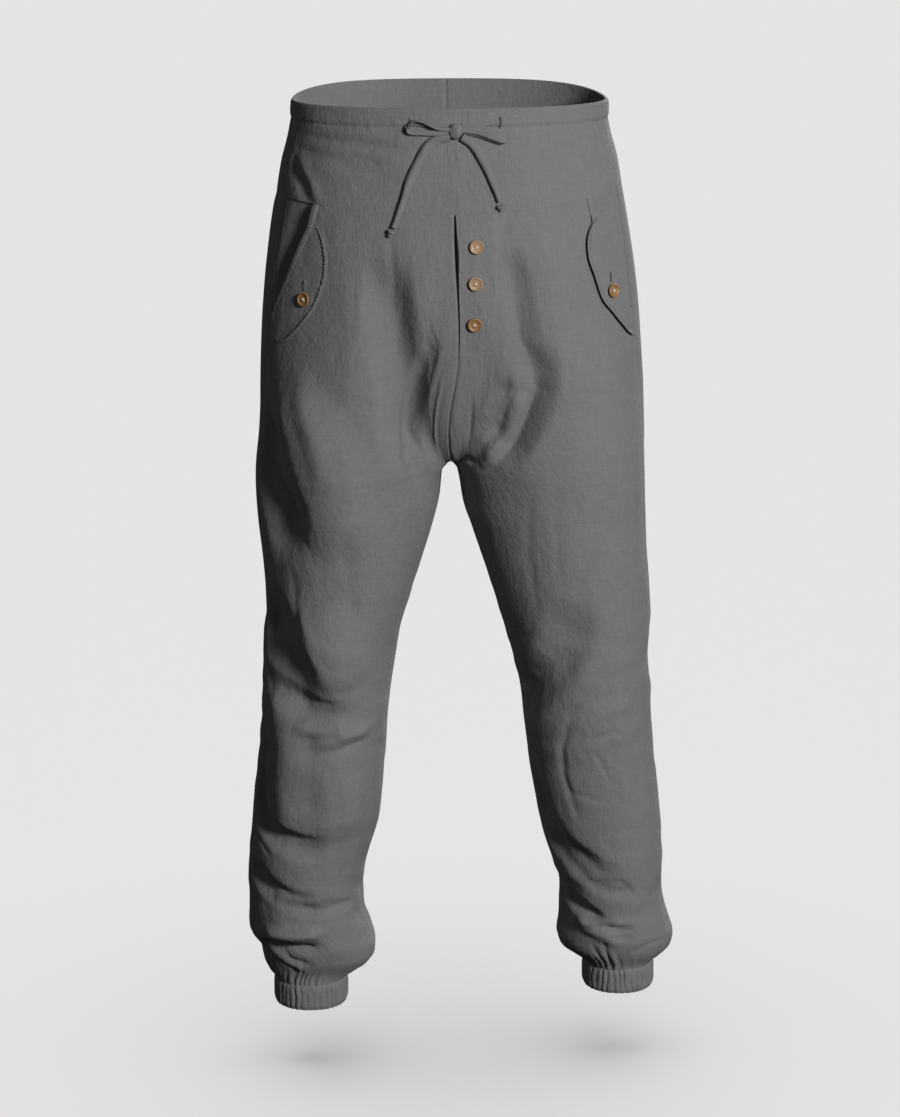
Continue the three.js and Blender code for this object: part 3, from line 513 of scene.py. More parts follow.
def parted(side, around, down):
    """The garment surface: a torso ring at the hips that parts into two leg rings."""
    outer = OUTER[side](down)
    inner = INNER[side](down)
    front = FRONT(down)
    back = BACK(down)
    lean = LEAN[side] * smooth((CROTCH - down) / 600)
    before = around < 1
    half = np.where(before, around, around - 1)
    torso_seam = math.pi / 2 - SEAM_TURN
    leg_seam = math.pi - SEAM_TURN
    torso_turn = np.where(before, half * torso_seam, mix(torso_seam, math.pi, half))
    leg_turn = np.where(before, half * leg_seam, mix(leg_seam, 2 * math.pi, half))
    depth = np.where(torso_turn < math.pi / 2, -front, back)
    r = reach(np.sin(torso_turn), np.cos(torso_turn), outer, depth, TORSO_ROUND)
    q = reach(
        np.cos(leg_turn), np.sin(leg_turn), (outer - inner) / 2, (back - front) / 2, LEG_ROUND
    )
    leg_x = (outer + inner) / 2 - q * np.cos(leg_turn)
    leg_y = (front + back) / 2 - q * np.sin(leg_turn)
    edge = edge_of(around)
    share = np.clip((PARTING - down) / (PARTING - CROTCH), 0, 1)
    power = mix(0.3, 2, smooth(edge / 0.6))
    leg = np.where(down <= CROTCH, 1, 1 - (1 - share * share) ** power)
    x = side * mix(r * np.sin(torso_turn), leg_x, leg)
    y = mix(-r * np.cos(torso_turn), leg_y, leg) + lean
    return np.stack((x, y, down), -1)


def surface(side, around, down):
    """The garment surface, eased where the rings part so that no line shows across the thighs."""
    around, down = np.broadcast_arrays(np.asarray(around, float), np.asarray(down, float))
    edge = edge_of(around)
    step = 13 * smooth((edge - 0.03) / 0.25) * hump(down, CROTCH, 70)
    at = 0
    for shift, weight in ((-2, 1), (-1, 4), (0, 6), (1, 4), (2, 1)):
        at = at + parted(side, around, down + shift * step) * weight / 16
    at[..., 2] = down
    return at


def unit(vectors):
    return vectors / np.linalg.norm(vectors, axis=-1, keepdims=True)


def outward(side, around, down):
    """Direction straight out of the cloth."""
    around, down = np.broadcast_arrays(np.asarray(around, float), np.asarray(down, float))
    turn = 0.004
    drop = 0.8
    below = down <= CROTCH
    a = surface(side, np.maximum(0, around - turn), down)
    b = surface(side, np.minimum(2, around + turn), down)
    c = surface(side, around, np.where(below, np.minimum(down + drop, CROTCH), down + drop))
    d = surface(side, around, np.where(below, down - drop, np.maximum(down - drop, CROTCH + 0.01)))
    return unit(np.cross(b - a, c - d) * side)


def around_at(side, half, across, down):
    """Turn at which the front or back surface lies a given distance across."""
    across, down = np.broadcast_arrays(np.asarray(across, float), np.asarray(down, float))
    low = np.full(across.shape, 0.0 if half == "front" else 2.0)
    high = np.ones(across.shape)
    for _ in range(30):
        middle = (low + high) / 2
        nearer = side * surface(side, middle, down)[..., 0] < across
        low = np.where(nearer, middle, low)
        high = np.where(nearer, high, middle)
    return (low + high) / 2


HEIGHTS = np.arange(-1046.0, 24.0, 2.0)


def lengths_at(side, half):
    """Length of the front or back of one side at each of the heights."""
    turns = np.linspace(0, 1, 17) + (0 if half == "front" else 1)
    at = surface(side, turns, HEIGHTS[:, None])
    return np.linalg.norm(np.diff(at, axis=-2), axis=-1).sum(-1)


LENGTHS = {(side, half): lengths_at(side, half)
           for side in (RIGHT, LEFT) for half in ("front", "back")}


def half_length(side, half, down):
    """Length of the front or back of one side at a height, from the middle to the side seam."""
    return np.interp(down, HEIGHTS, LENGTHS[side, half])


def cloth_width(side, half, down):
    """The same length, eased over 60 mm so that the threads stay straight past the crotch."""
    return sum(half_length(side, half, down + shift) for shift in range(-60, 61, 12)) / 11


def in_front(places):
    """Places in front of the cloth, each across, down and how far it stands off."""
    points = []
    for across, down, off in places:
        side = RIGHT if across < 0 else LEFT
        around = around_at(side, "front", abs(across), down)
        points.append(surface(side, around, down) + outward(side, around, down) * off)
    return np.array(points)


class Crease:
    """One fold or crease, measured along the cloth from its side's middle."""

    def __init__(self, side, half, width, height, sharp, *places):
        across, down = np.array(places, float).T
        self.key = (side, half)
        self.length = half_length(side, half, down.mean())
        self.x = around_at(side, half, across, down) * self.length
        self.z = down
        self.width = width
        self.height = height
        self.sharp = sharp

    def rise(self, around, down):
        """How far it moves the cloth out at each place."""
        x = around * self.length
        away = np.full(x.shape, np.inf)
        along = np.zeros(x.shape)
        runs = np.hypot(np.diff(self.x), np.diff(self.z))
        for i, run in enumerate(runs):
            dx = (self.x[i + 1] - self.x[i]) / run
            dz = (self.z[i + 1] - self.z[i]) / run
            t = np.clip((x - self.x[i]) * dx + (down - self.z[i]) * dz, 0, run)
            gap = np.hypot(x - self.x[i] - t * dx, down - self.z[i] - t * dz)
            nearer = gap < away
            away = np.where(nearer, gap, away)
            along = np.where(nearer, runs[:i].sum() + t, along)
        share = along / runs.sum()
        a = np.clip(away / self.width, 0, 1)
        body = mix((1 - a * a) ** 2, (1 - a) ** 2, self.sharp)
        least = 0.35 if self.sharp else 0.08
        ends = least + (1 - least) * smooth(np.minimum(share, 1 - share) * 4)
        return self.height * ends * body


YOKE_CREASES = [
    Crease(RIGHT, "front", 12, -3.6, 0.5, (176, -60), (163, -82), (154, -102)),
    Crease(RIGHT, "front", 11, 2.2, 0.4, (164, -56), (153, -80), (144, -104)),
    Crease(RIGHT, "front", 40, -1.6, 0.2, (100, -40), (92, -104)),
    Crease(RIGHT, "front", 12, -2.6, 0.4, (176, -30), (110, -38), (44, -45)),
    Crease(RIGHT, "front", 15, -2.4, 0.3, (176, -46), (120, -57), (70, -64)),
    Crease(LEFT, "front", 40, -1.4, 0.2, (104, -40), (112, -100)),
]
BROAD = [Crease(*key, width, height, 0, *places)
         for key, folds in BROAD_FOLDS.items() for width, height, *places in folds]
FINE = [Crease(*key, *crease) for key, creases in CREASES.items() for crease in creases]


def bumps(seed, u, v, cell_u, cell_v):
    """Soft seeded bumps between -1 and 1, cell_u by cell_v millimetres each."""
    x = u / cell_u + 40
    y = v / cell_v + 400
    i = np.floor(x).astype(int)
    j = np.floor(y).astype(int)
    lattice = np.random.default_rng(seed).uniform(-1, 1, (i.max() + 2, j.max() + 2))
    s = smooth(x - i)
    t = smooth(y - j)
    near = mix(lattice[i, j], lattice[i + 1, j], s)
    far = mix(lattice[i, j + 1], lattice[i + 1, j + 1], s)
    return mix(near, far, t)


def fold_rise(side, around, down, fine=1.0):
    """How far the folds and creases move the cloth in or out."""
    half = "front" if around.mean() <= 1 else "back"
    edge = edge_of(around)
    broad = sum(fold.rise(around, down) for fold in BROAD if fold.key == (side, half))
    middle = np.where(down > CROTCH - 40, smooth(edge / 0.06), smooth(edge / 0.1))
    broad = broad * middle * smooth((1 - edge) / 0.08)
    narrow = sum(fold.rise(around, down) for fold in FINE if fold.key == (side, half))
    narrow = narrow * smooth(edge / 0.03) * smooth((1 - edge) / 0.02)
    return broad + fine * narrow


def crinkle_rise(side, around, down, u):
    """The soft crumple of washed cotton, longer down the leg than across it."""
    seed = 10 if side == RIGHT else 20
    seed += 0 if around.mean() <= 1 else 5
    rise = 1.1 * bumps(seed, u, down, 46, 120)
    rise += 0.45 * bumps(seed + 1, u, down, 15, 60)
    rise += 0.22 * bumps(seed + 2, u, down, 8, 26)
    slanted = bumps(seed + 3, u + 0.6 * down, down - 0.3 * u, 34, 17)
    knee = hump(down, -650, 110) + hump(down, -900, 70)
    return rise + 1.3 * slanted * knee


def yoke_down(side, around):
    """Height of the yoke seam."""
    edge = edge_of(around)
    middle = np.where(around <= 1, YOKE_FRONT, YOKE_BACK)
    return mix(middle, YOKE_SIDE[side], edge * edge)


def rim_down(side, around):
    """Height of the waist edge."""
    return BACK_RISE * smooth(surface(side, around, 0)[..., 1] / WAIST_DEPTH)


def middle_path(side, half):
    """Lengths and heights down the middle seam, with closer steps where it turns under."""
    around = 0 if half == "front" else 2
    top = yoke_down(side, np.array(float(around)))
    down = mix(top, CROTCH, 1 - (1 - np.linspace(0, 1, 601)) ** 3)
    return run_of(surface(side, around, down)), down


MIDDLE = {(side, half): middle_path(side, half)
          for side in (RIGHT, LEFT) for half in ("front", "back")}


def row_down(side, half, side_height, around):
    """Height of a row of the panel at a turn, from its height at the side seam."""
    first = YOKE_SIDE[side]
    share = np.clip((first - side_height) / (first - CROTCH), 0, 1)
    length, down = MIDDLE[side, half]
    middle = np.interp(share * length[-1], length, down)
    middle = np.where(side_height > CROTCH, middle, side_height)
    edge = edge_of(around)
    return mix(middle, side_height, edge * edge)


def wall_faces(rows, columns, ring=False):
    """Faces of a closed wall between an outer and an inner grid of points."""
    out = np.arange(rows * columns).reshape(rows, columns)
    if ring:
        out = np.concatenate((out, out[:, :1]), 1)
    inn = out + rows * columns

    def quads(a, b, c, d):
        return np.stack([part.ravel() for part in (a, b, c, d)], -1)

    faces = [
        quads(out[:-1, :-1], out[1:, :-1], out[1:, 1:], out[:-1, 1:]),
        quads(inn[:-1, :-1], inn[:-1, 1:], inn[1:, 1:], inn[1:, :-1]),
        quads(out[0, :-1], out[0, 1:], inn[0, 1:], inn[0, :-1]),
        quads(out[-1, :-1], inn[-1, :-1], inn[-1, 1:], out[-1, 1:]),
    ]
    if not ring:
        faces.append(quads(out[:-1, 0], inn[:-1, 0], inn[1:, 0], out[1:, 0]))
        faces.append(quads(out[:-1, -1], out[1:, -1], inn[1:, -1], inn[:-1, -1]))
    return np.concatenate(faces)


def wall(name, outer, inner, cloth, sizes, ring=False):
    """A thin piece of cloth between two grids of points, faces turned outwards."""
    points = np.concatenate((outer.reshape(-1, 3), inner.reshape(-1, 3)))
    faces = wall_faces(*outer.shape[:2], ring)
    a, b, c, d = (points[faces[:, i]] for i in range(4))
    volume = (a * np.cross(b, c)).sum() + (a * np.cross(c, d)).sum()
    if volume < 0:
        faces = faces[:, ::-1]
    places = np.concatenate((cloth.reshape(-1, 2), cloth.reshape(-1, 2)))
    return mesh_object(name, points, faces, places, panel_cloth(sizes))


def sheet_area(grid, ring=False):
    """Area of a grid of points in square metres."""
    if ring:
        grid = np.concatenate((grid, grid[:, :1]), 1)
    across = grid[1:, 1:] - grid[:-1, :-1]
    down = grid[1:, :-1] - grid[:-1, 1:]
    return np.linalg.norm(np.cross(across, down), axis=-1).sum() / 2 * MM * MM


def run_along(grid, axis):
    """Distance along each row or column of a grid from its start."""
    steps = np.linalg.norm(np.diff(grid, axis=axis), axis=-1)
    first = np.zeros_like(np.take(steps, [0], axis))
    return np.concatenate((first, np.cumsum(steps, axis)), axis)


def take_in(outer, inner):
    """Draws both ends of each row in by half a seam, along the cloth."""
    for end, beside in ((0, 1), (-1, -2)):
        shift = unit(outer[:, beside] - outer[:, end]) * SEAM / 2
        outer[:, end] += shift
        inner[:, end] += shift


def columns_of(rows):
    return np.stack(list(rows.values()), -1)


def smooth_path(points, count):
    """A path of evenly spaced points on a smooth curve through a few."""
    points = np.asarray(points, float)
    before = np.concatenate(([2 * points[0] - points[1]], points, [2 * points[-1] - points[-2]]))
    t = np.linspace(0, 1, 24, endpoint=False)[:, None]
    pieces = []
    for p0, p1, p2, p3 in zip(before, before[1:], before[2:], before[3:]):
        pieces.append(
            0.5 * (2 * p1 + (p2 - p0) * t + (2 * p0 - 5 * p1 + 4 * p2 - p3) * t ** 2
                   + (3 * p1 - p0 - 3 * p2 + p3) * t ** 3)
        )
    fine = np.concatenate(pieces + [points[-1:]])
    return along_path(fine, np.linspace(0, run_of(fine)[-1], count))


def mesh_object(name, points, faces, cloth=None, material=None, soft=True):
    """An object of the given points in millimetres, with the places of its threads if it is cloth."""
    mesh = bpy.data.meshes.new(name)
    mesh.from_pydata((np.asarray(points) * MM).tolist(), [], [list(map(int, face)) for face in faces])
    mesh.polygons.foreach_set("use_smooth", [soft] * len(mesh.polygons))
    mesh.set_sharp_from_angle(angle=SHARP_ANGLE)
    if cloth is not None:
        threads = mesh.attributes.new("cloth_place", "FLOAT_VECTOR", "POINT")
        places = np.zeros((len(points), 3))
        places[:, :2] = np.asarray(cloth) * MM
        threads.data.foreach_set("vector", places.ravel())
    mesh.update()
    obj = bpy.data.objects.new(name, mesh)
    link(obj)
    if material:
        mesh.materials.append(material)
    return obj


def tube(path, half_wide, half_thick, sides=12, wide_along=None, ring=False):
    """Points and faces of a flattened tube along a path that is closed at both ends or a ring."""
    path = np.asarray(path)
    ahead = unit(np.roll(path, -1, 0) - np.roll(path, 1, 0) if ring else np.gradient(path, axis=0))
    if wide_along is None:
        wide = unit(np.cross(ahead, path - path.mean(0)))
    else:
        wide_along = np.broadcast_to(np.asarray(wide_along, float), path.shape)
        wide = unit(wide_along - ahead * (wide_along * ahead).sum(-1, keepdims=True))
    thick = np.cross(ahead, wide)
    turns = np.arange(sides) * 2 * math.pi / sides
    half_wide = np.broadcast_to(half_wide, len(path))[:, None, None]
    half_thick = np.broadcast_to(half_thick, len(path))[:, None, None]
    rings = (
        path[:, None]
        + wide[:, None] * np.cos(turns)[:, None] * half_wide
        + thick[:, None] * np.sin(turns)[:, None] * half_thick
    )
    faces = []
    for r in range(len(path) if ring else len(path) - 1):
        q = (r + 1) % len(path)
        for s in range(sides):
            t = (s + 1) % sides
            faces.append((r * sides + s, r * sides + t, q * sides + t, q * sides + s))
    if not ring:
        faces.append(tuple(reversed(range(sides))))
        faces.append(tuple((len(path) - 1) * sides + s for s in range(sides)))
    return rings.reshape(-1, 3), faces


def join(*parts):
    """Points and faces of several parts as one."""
    points = []
    faces = []
    for more, new in parts:
        faces += [tuple(i + len(points) for i in face) for face in new]
        points += list(more)
    return np.array(points), faces


def link(obj):
    bpy.context.scene.collection.objects.link(obj)


def place_camera():
    """The photograph's view: 4 metres away, 13 degrees above, 2.5 degrees to the wearer's right."""
    distance = 4.0
    azimuth = math.radians(-2.5)
    elevation = math.radians(13)
    target = Vector((-0.00033, 0, -0.51402))
    back = Vector((
        math.sin(azimuth) * math.cos(elevation),
        -math.cos(azimuth) * math.cos(elevation),
        math.sin(elevation),
    ))
    data = bpy.data.cameras.new("photo_camera")
    data.sensor_fit = "VERTICAL"
    data.sensor_height = 36
    data.sensor_width = 36
    data.lens = 115.1
    camera = bpy.data.objects.new("photo_camera", data)
    camera.location = target + back * distance
    camera.rotation_euler = back.to_track_quat("Z", "Y").to_euler()
    link(camera)
    bpy.context.scene.camera = camera


def linear(hex_colour):
    """An sRGB hex colour as linear light."""
    channels = [int(hex_colour[i:i + 2], 16) / 255 for i in (1, 3, 5)]
    return [c / 12.92 if c <= 0.04045 else ((c + 0.055) / 1.055) ** 2.4 for c in channels] + [1]


def node(tree, kind, inputs=None, **settings):
    """Adds a node to a material, with its settings and what feeds its inputs."""
    made = tree.nodes.new(kind)
    for key, value in settings.items():
        setattr(made, key, value)
    for key, value in (inputs or {}).items():
        if isinstance(value, bpy.types.NodeSocket):
            tree.links.new(value, made.inputs[key])
        else:
            made.inputs[key].default_value = value
    return made


def blank_material(name):
    material = bpy.data.materials.new(name)
    material.use_nodes = True
    material.node_tree.nodes.clear()
    return material, material.node_tree


def washed_cotton(name, dark, light):
    """Washed plain-weave cotton: matt, slubbed along the leg, with a faint nap that lifts its edges."""
    material, tree = blank_material(name)
    place = node(tree, "ShaderNodeAttribute", attribute_name="cloth_place").outputs["Vector"]
    # Threads are 0.5 mm apart in real cotton, drawn 1.3 mm apart so that they show.
    warp, weft = (
        node(tree, "ShaderNodeTexWave",
             {"Vector": place, "Scale": WAVE_STEP / 0.0013, "Distortion": 1.2, "Detail": 1,
              "Detail Scale": 0.6}, bands_direction=way)
        for way in "XY"
    )
    weave = node(tree, "ShaderNodeMath", {0: warp.outputs["Fac"], 1: weft.outputs["Fac"]},
                 operation="MULTIPLY")
    # Slubs are thicker lengths of thread, 2 mm wide and about 16 mm long.
    along = node(tree, "ShaderNodeMapping", {"Vector": place, "Scale": (1, 0.14, 1)})
    slubs = node(tree, "ShaderNodeTexNoise",
                 {"Vector": along.outputs["Vector"], "Scale": 420, "Detail": 3, "Roughness": 0.6})
    across = node(tree, "ShaderNodeMapping", {"Vector": place, "Scale": (0.12, 1, 1)})
    rows = node(tree, "ShaderNodeTexNoise",
                {"Vector": across.outputs["Vector"], "Scale": 380, "Detail": 2, "Roughness": 0.5})
    # Washing leaves a crumple of about 3 to 12 mm, a little longer down the leg.
    crumpled = node(tree, "ShaderNodeMapping", {"Vector": place, "Scale": (1, 0.6, 1)})
    crumple = node(tree, "ShaderNodeTexNoise",
                   {"Vector": crumpled.outputs["Vector"], "Scale": 130, "Detail": 5,
                    "Roughness": 0.62, "Distortion": 0.5})
    patches = node(tree, "ShaderNodeTexNoise", {"Vector": place, "Scale": 14, "Detail": 3})
    tone = node(tree, "ShaderNodeMix",
                {"Factor": 0.35, 2: slubs.outputs["Fac"], 3: patches.outputs["Fac"]})
    tone = node(tree, "ShaderNodeMix", {"Factor": 0.3, 2: tone.outputs[0], 3: rows.outputs["Fac"]})
    below = {}
    for height, strength, distance in (
        (weave.outputs[0], 0.25, 0.0002),
        (slubs.outputs["Fac"], 0.5, 0.0006),
        (rows.outputs["Fac"], 0.35, 0.0005),
        (crumple.outputs["Fac"], 0.65, 0.0024),
    ):
        bump = node(tree, "ShaderNodeBump",
                    {"Height": height, "Strength": strength, "Distance": distance, **below})
        below = {"Normal": bump.outputs["Normal"]}
    colour = node(tree, "ShaderNodeMix",
                  {"Factor": tone.outputs[0], 6: linear(dark), 7: linear(light)},
                  data_type="RGBA")
    shader = node(tree, "ShaderNodeBsdfPrincipled",
                  {"Base Color": colour.outputs[2], "Roughness": 0.92, "Specular IOR Level": 0.2,
                   "Sheen Weight": 0.06, "Sheen Roughness": 0.5, "Normal": bump.outputs["Normal"]})
    node(tree, "ShaderNodeOutputMaterial", {"Surface": shader.outputs["BSDF"]})
    return material


def twisted_thread(name, dark, light):
    """Sewing thread: fine cotton or polyester with a slight shine and a visible twist."""
    material, tree = blank_material(name)
    place = node(tree, "ShaderNodeTexCoord").outputs["Object"]
    # The twist repeats about every 0.6 mm.
    twist = node(tree, "ShaderNodeTexWave",
                 {"Vector": place, "Scale": WAVE_STEP / 0.0006, "Distortion": 0.5},
                 bands_direction="DIAGONAL")
    bump = node(tree, "ShaderNodeBump",
                {"Height": twist.outputs["Fac"], "Strength": 0.5, "Distance": 0.0001})
    colour = node(tree, "ShaderNodeMix",
                  {"Factor": twist.outputs["Fac"], 6: linear(dark), 7: linear(light)},
                  data_type="RGBA")
    shader = node(tree, "ShaderNodeBsdfPrincipled",
                  {"Base Color": colour.outputs[2], "Roughness": 0.7, "Specular IOR Level": 0.3,
                   "Normal": bump.outputs["Normal"]})
    node(tree, "ShaderNodeOutputMaterial", {"Surface": shader.outputs["BSDF"]})
    return material


def turned_wood(name, dark, light):
    """Turned and waxed olive or beech wood: warm, with fine grain and a satin surface."""
    material, tree = blank_material(name)
    place = node(tree, "ShaderNodeTexCoord").outputs["Object"]
    # Growth rings are about 1.1 mm apart on the face of a button.
    grain = node(tree, "ShaderNodeTexWave",
                 {"Vector": place, "Scale": WAVE_STEP / 0.0011, "Distortion": 5, "Detail": 3,
                  "Detail Scale": 1.5}, bands_direction="X")
    fibres = node(tree, "ShaderNodeMapping", {"Vector": place, "Scale": (1, 0.1, 1)})
    pores = node(tree, "ShaderNodeTexNoise",
                 {"Vector": fibres.outputs["Vector"], "Scale": 3000, "Detail": 3})
    tone = node(tree, "ShaderNodeMix",
                {"Factor": 0.4, 2: grain.outputs["Fac"], 3: pores.outputs["Fac"]})
    bump = node(tree, "ShaderNodeBump",
                {"Height": pores.outputs["Fac"], "Strength": 0.3, "Distance": 0.0001})
    colour = node(tree, "ShaderNodeMix",
                  {"Factor": tone.outputs[0], 6: linear(dark), 7: linear(light)},
                  data_type="RGBA")
    shader = node(tree, "ShaderNodeBsdfPrincipled",
                  {"Base Color": colour.outputs[2], "Roughness": 0.42, "Specular IOR Level": 0.5,
                   "Coat Weight": 0.15, "Coat Roughness": 0.3, "Normal": bump.outputs["Normal"]})
    node(tree, "ShaderNodeOutputMaterial", {"Surface": shader.outputs["BSDF"]})
    return material


def pale_floor(name, colour):
    """Matt painted studio floor, even and pale."""
    material, tree = blank_material(name)
    shader = node(tree, "ShaderNodeBsdfPrincipled",
                  {"Base Color": linear(colour), "Roughness": 1, "Specular IOR Level": 0,
                   "Emission Color": linear(colour), "Emission Strength": 0.515})
    node(tree, "ShaderNodeOutputMaterial", {"Surface": shader.outputs["BSDF"]})
    return material


def finish_of(name, make, *colours):
    """The named material, made once."""
    return bpy.data.materials.get(name) or make(name, *colours)


def panel_cloth(sizes):
    return finish_of("washed_cotton", washed_cotton, sizes.cloth_dark, sizes.cloth_light)


def tie_cloth(sizes):
    return finish_of("tie_cotton", washed_cotton, sizes.tie_dark, sizes.tie_light)


def sewing_thread(sizes):
    return finish_of("grey_thread", twisted_thread, sizes.thread_dark, sizes.thread_light)


def cloth_rise(side, around, down, sizes):
    """How far the worn cloth stands out from the surface, and its distance from the side seam."""
    front = around.mean() <= 1
    half = "front" if front else "back"
    turn = around if front else around - 1
    near = np.minimum(turn, 1 - turn) * half_length(side, half, down)
    # Threads run straight along the side seam, so the distance is taken from there.
    u = (turn - 1 if front else turn) * cloth_width(side, half, down)
    rise = sizes.crinkle * crinkle_rise(side, around, down, u) * smooth(near / SEAM_FADE)
    rise = rise * smooth((yoke_down(side, around) - down) / SEAM_FADE)
    rise = rise + fold_rise(side, around, down, sizes.creases)
    return rise - SEAM_DENT * hump(near, 0, SEAM_DENT_HALF), u


def gathers(side, around, down, depth):
    """Uneven gathers that run up from the cuff."""
    up = down - CUFF_TOP[side]
    seed = 31 if side == RIGHT else 41
    turn = around * GATHERS + 0.9 * bumps(seed, around * 9, 0 * around, 1, 1)
    tall = GATHER_HEIGHT + GATHER_UNEVEN * bumps(seed + 1, around * 12, 0 * around, 1, 1)
    uneven = 0.75 + 0.4 * bumps(seed + 2, around * 16, 0 * around, 1, 1)
    sewn = 0.45 + 0.55 * smooth(up / 5)
    return depth * uneven * sewn * (1 - smooth(up / tall)) * np.cos(2 * math.pi * turn)


def trim(obj):
    """The piece moves with the part."""
    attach(obj, "root")


def place_piece(obj, *nodes, slot="cotton_cloth"):
    """The piece stands for its solids, which it hides, and moves with the part."""
    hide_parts(*nodes)
    trim(obj)


def declare(grid, ring=False):
    """Works out the cut of a cloth piece, as wide and long as its widest row and longest column, and
    its area, but keeps neither.
    """
    across = run_along(np.concatenate((grid, grid[:, :1]), 1) if ring else grid, 1)[:, -1].max()
    along = run_along(grid, 0)[-1].max()
    flat = (float(across) * MM, float(along) * MM)
    area = sheet_area(grid, ring)
    area = float(np.clip(area, 0.31 * flat[0] * flat[1], flat[0] * flat[1]))


def fly_opening(down):
    """How far the fly gapes at a height, from 0 to 1."""
    return hump(down, FLY_MIDDLE, FLY_REACH)


def sway(grid, down):
    """Moves the cloth beside the front middle sideways with its seam."""
    down = np.clip(down, SEAM_SWAY["down"].min(), SEAM_SWAY["down"].max())
    grid[..., 0] += curve(SEAM_SWAY, "down", "shift")(down) * hump(grid[..., 0], 0, SWAY_REACH)


def make_panel(side, half, sizes):
    """A front or back leg panel, from the yoke seam to the cuff."""
    front = half == "front"
    hand = HANDS[side]
    thigh = np.linspace(YOKE_SIDE[side], POCKET_END, THIGH_ROWS)
    leg = np.linspace(POCKET_END - LEDGE, CUFF_TOP[side], LEG_ROWS)
    heights = np.concatenate((thigh, leg))[:, None]
    c = np.linspace(0, 1, PANEL_COLUMNS)
    crowd = mix(1.3, 1, smooth((CROTCH - heights) / 336))
    share = c ** crowd if front else 1 - (1 - c) ** crowd
    widest = np.where(front & (heights >= POCKET_END), POCKET_TURN(heights), 1)
    around = share * widest if front else 1 + share
    down = row_down(side, half, heights, around)
    down[0] = yoke_down(side, around[0]) - SEAM / 2
    down[-1] = CUFF_TOP[side] + SEAM / 2
    rise, u = cloth_rise(side, around, down, sizes)
    rise = rise + gathers(side, around, down, sizes.gather)
    rise = rise - 0.08 * hump(down[:1] - down, 0, 1.6)
    if front:
        # The fly stands open a little under the placket, so the seam lies deep there.
        from_middle = around * half_length(side, half, down)
        groove = (sizes.fly_gap * fly_opening(down) + 0.5) * smooth((down + 350) / 60)
        rise = rise - groove * hump(from_middle, 0, 3.2)
    normal = outward(side, around, down)
    outer = surface(side, around, down) + normal * rise[..., None]
    inner = outer - normal * CLOTH
    inner[0, :, 2] = outer[0, :, 2]
    inner[-1, :, 2] = outer[-1, :, 2]
    take_in(outer, inner)
    for grid in (outer, inner):
        grid[..., 0] = side * np.maximum(side * grid[..., 0], SEAM / 2)
        if front:
            sway(grid, down)
    cloth = np.stack((u, down), -1)
    obj = wall(f"{half}_panel_{hand}", outer, inner, cloth, sizes)
    place_piece(obj, f"{half}_leg_{hand}")
    return obj, outer, inner, heights[:, 0]


def make_seam_tape(half, panels, sizes):
    """The turned-in allowance behind the middle seam, which keeps light out of the seam."""
    near = np.arange(TAPE_COLUMNS) if half == "front" else -1 - np.arange(TAPE_COLUMNS)
    shares = np.linspace(0.04, 1.003, TAPE_ROWS)
    wings = []
    for side in (RIGHT, LEFT):
        outer, inner, heights = panels[side][1:]
        row_share = (YOKE_SIDE[side] - heights) / (YOKE_SIDE[side] - CROTCH)
        through = unit(inner[:, near] - outer[:, near])
        both = np.concatenate((inner[:, near] + through * 0.1, inner[:, near] + through * 0.9), -1)
        flat = both.reshape(len(heights), -1)
        wing = np.stack([np.interp(shares, row_share, column) for column in flat.T], -1)
        wings.append(wing.reshape(len(shares), TAPE_COLUMNS, 6))
    tape = np.concatenate((wings[0][:, ::-1], wings[1]), 1)
    obj = wall(f"{half}_seam_tape", tape[..., :3], tape[..., 3:], tape[..., [0, 2]], sizes)
    trim(obj)
    return obj


def make_hip(side, sizes):
    """The piece of cloth behind a slanted pocket opening."""
    heights = np.linspace(YOKE_SIDE[side], HIP_ROWS["down"][-1], HIP_GRID[0])[:, None]
    turn = POCKET_TURN(heights)
    under = lines(HIP_ROWS, "down", "under")(heights)
    depth = lines(HIP_ROWS, "down", "depth")(heights)
    start = turn - under / half_length(side, "front", heights[:, 0])[:, None]
    around = mix(start, 1, np.linspace(0, 1, HIP_GRID[1]))
    down = row_down(side, "front", heights, around)
    down[0] = yoke_down(side, around[0]) - SEAM / 2
    rise, u = cloth_rise(side, around, down, sizes)
    top = smooth((down[:1] - down) / 26)
    sunk = depth * mix(0.9, 2.2, top) * (1 - smooth((around - turn) / (1 - turn)))
    soft = 0.5 * bumps(77, u, down, 18, 30) * smooth((1 - around) / 0.05)
    normal = outward(side, around, down)
    outer = surface(side, around, down) + normal * (rise - sunk + soft - 0.4)[..., None]
    inner = outer - normal * (CLOTH - 0.4)
    take_in(outer, inner)
    hand = HANDS[side]
    obj = wall(f"hip_piece_{hand}", outer, inner, np.stack((u, down), -1), sizes)
    place_piece(obj, f"pocket_hip_{hand}")
    declare(outer)


def patch(side, around, down, rise, thick, off=0.0):
    """Outer and inner grids of a piece that lies on the cloth."""
    normal = outward(side, around, down)
    at = surface(side, around, down)
    outer = at + normal * (rise + off + thick)[..., None]
    inner = at + normal * (rise + off)[..., None]
    return outer, inner


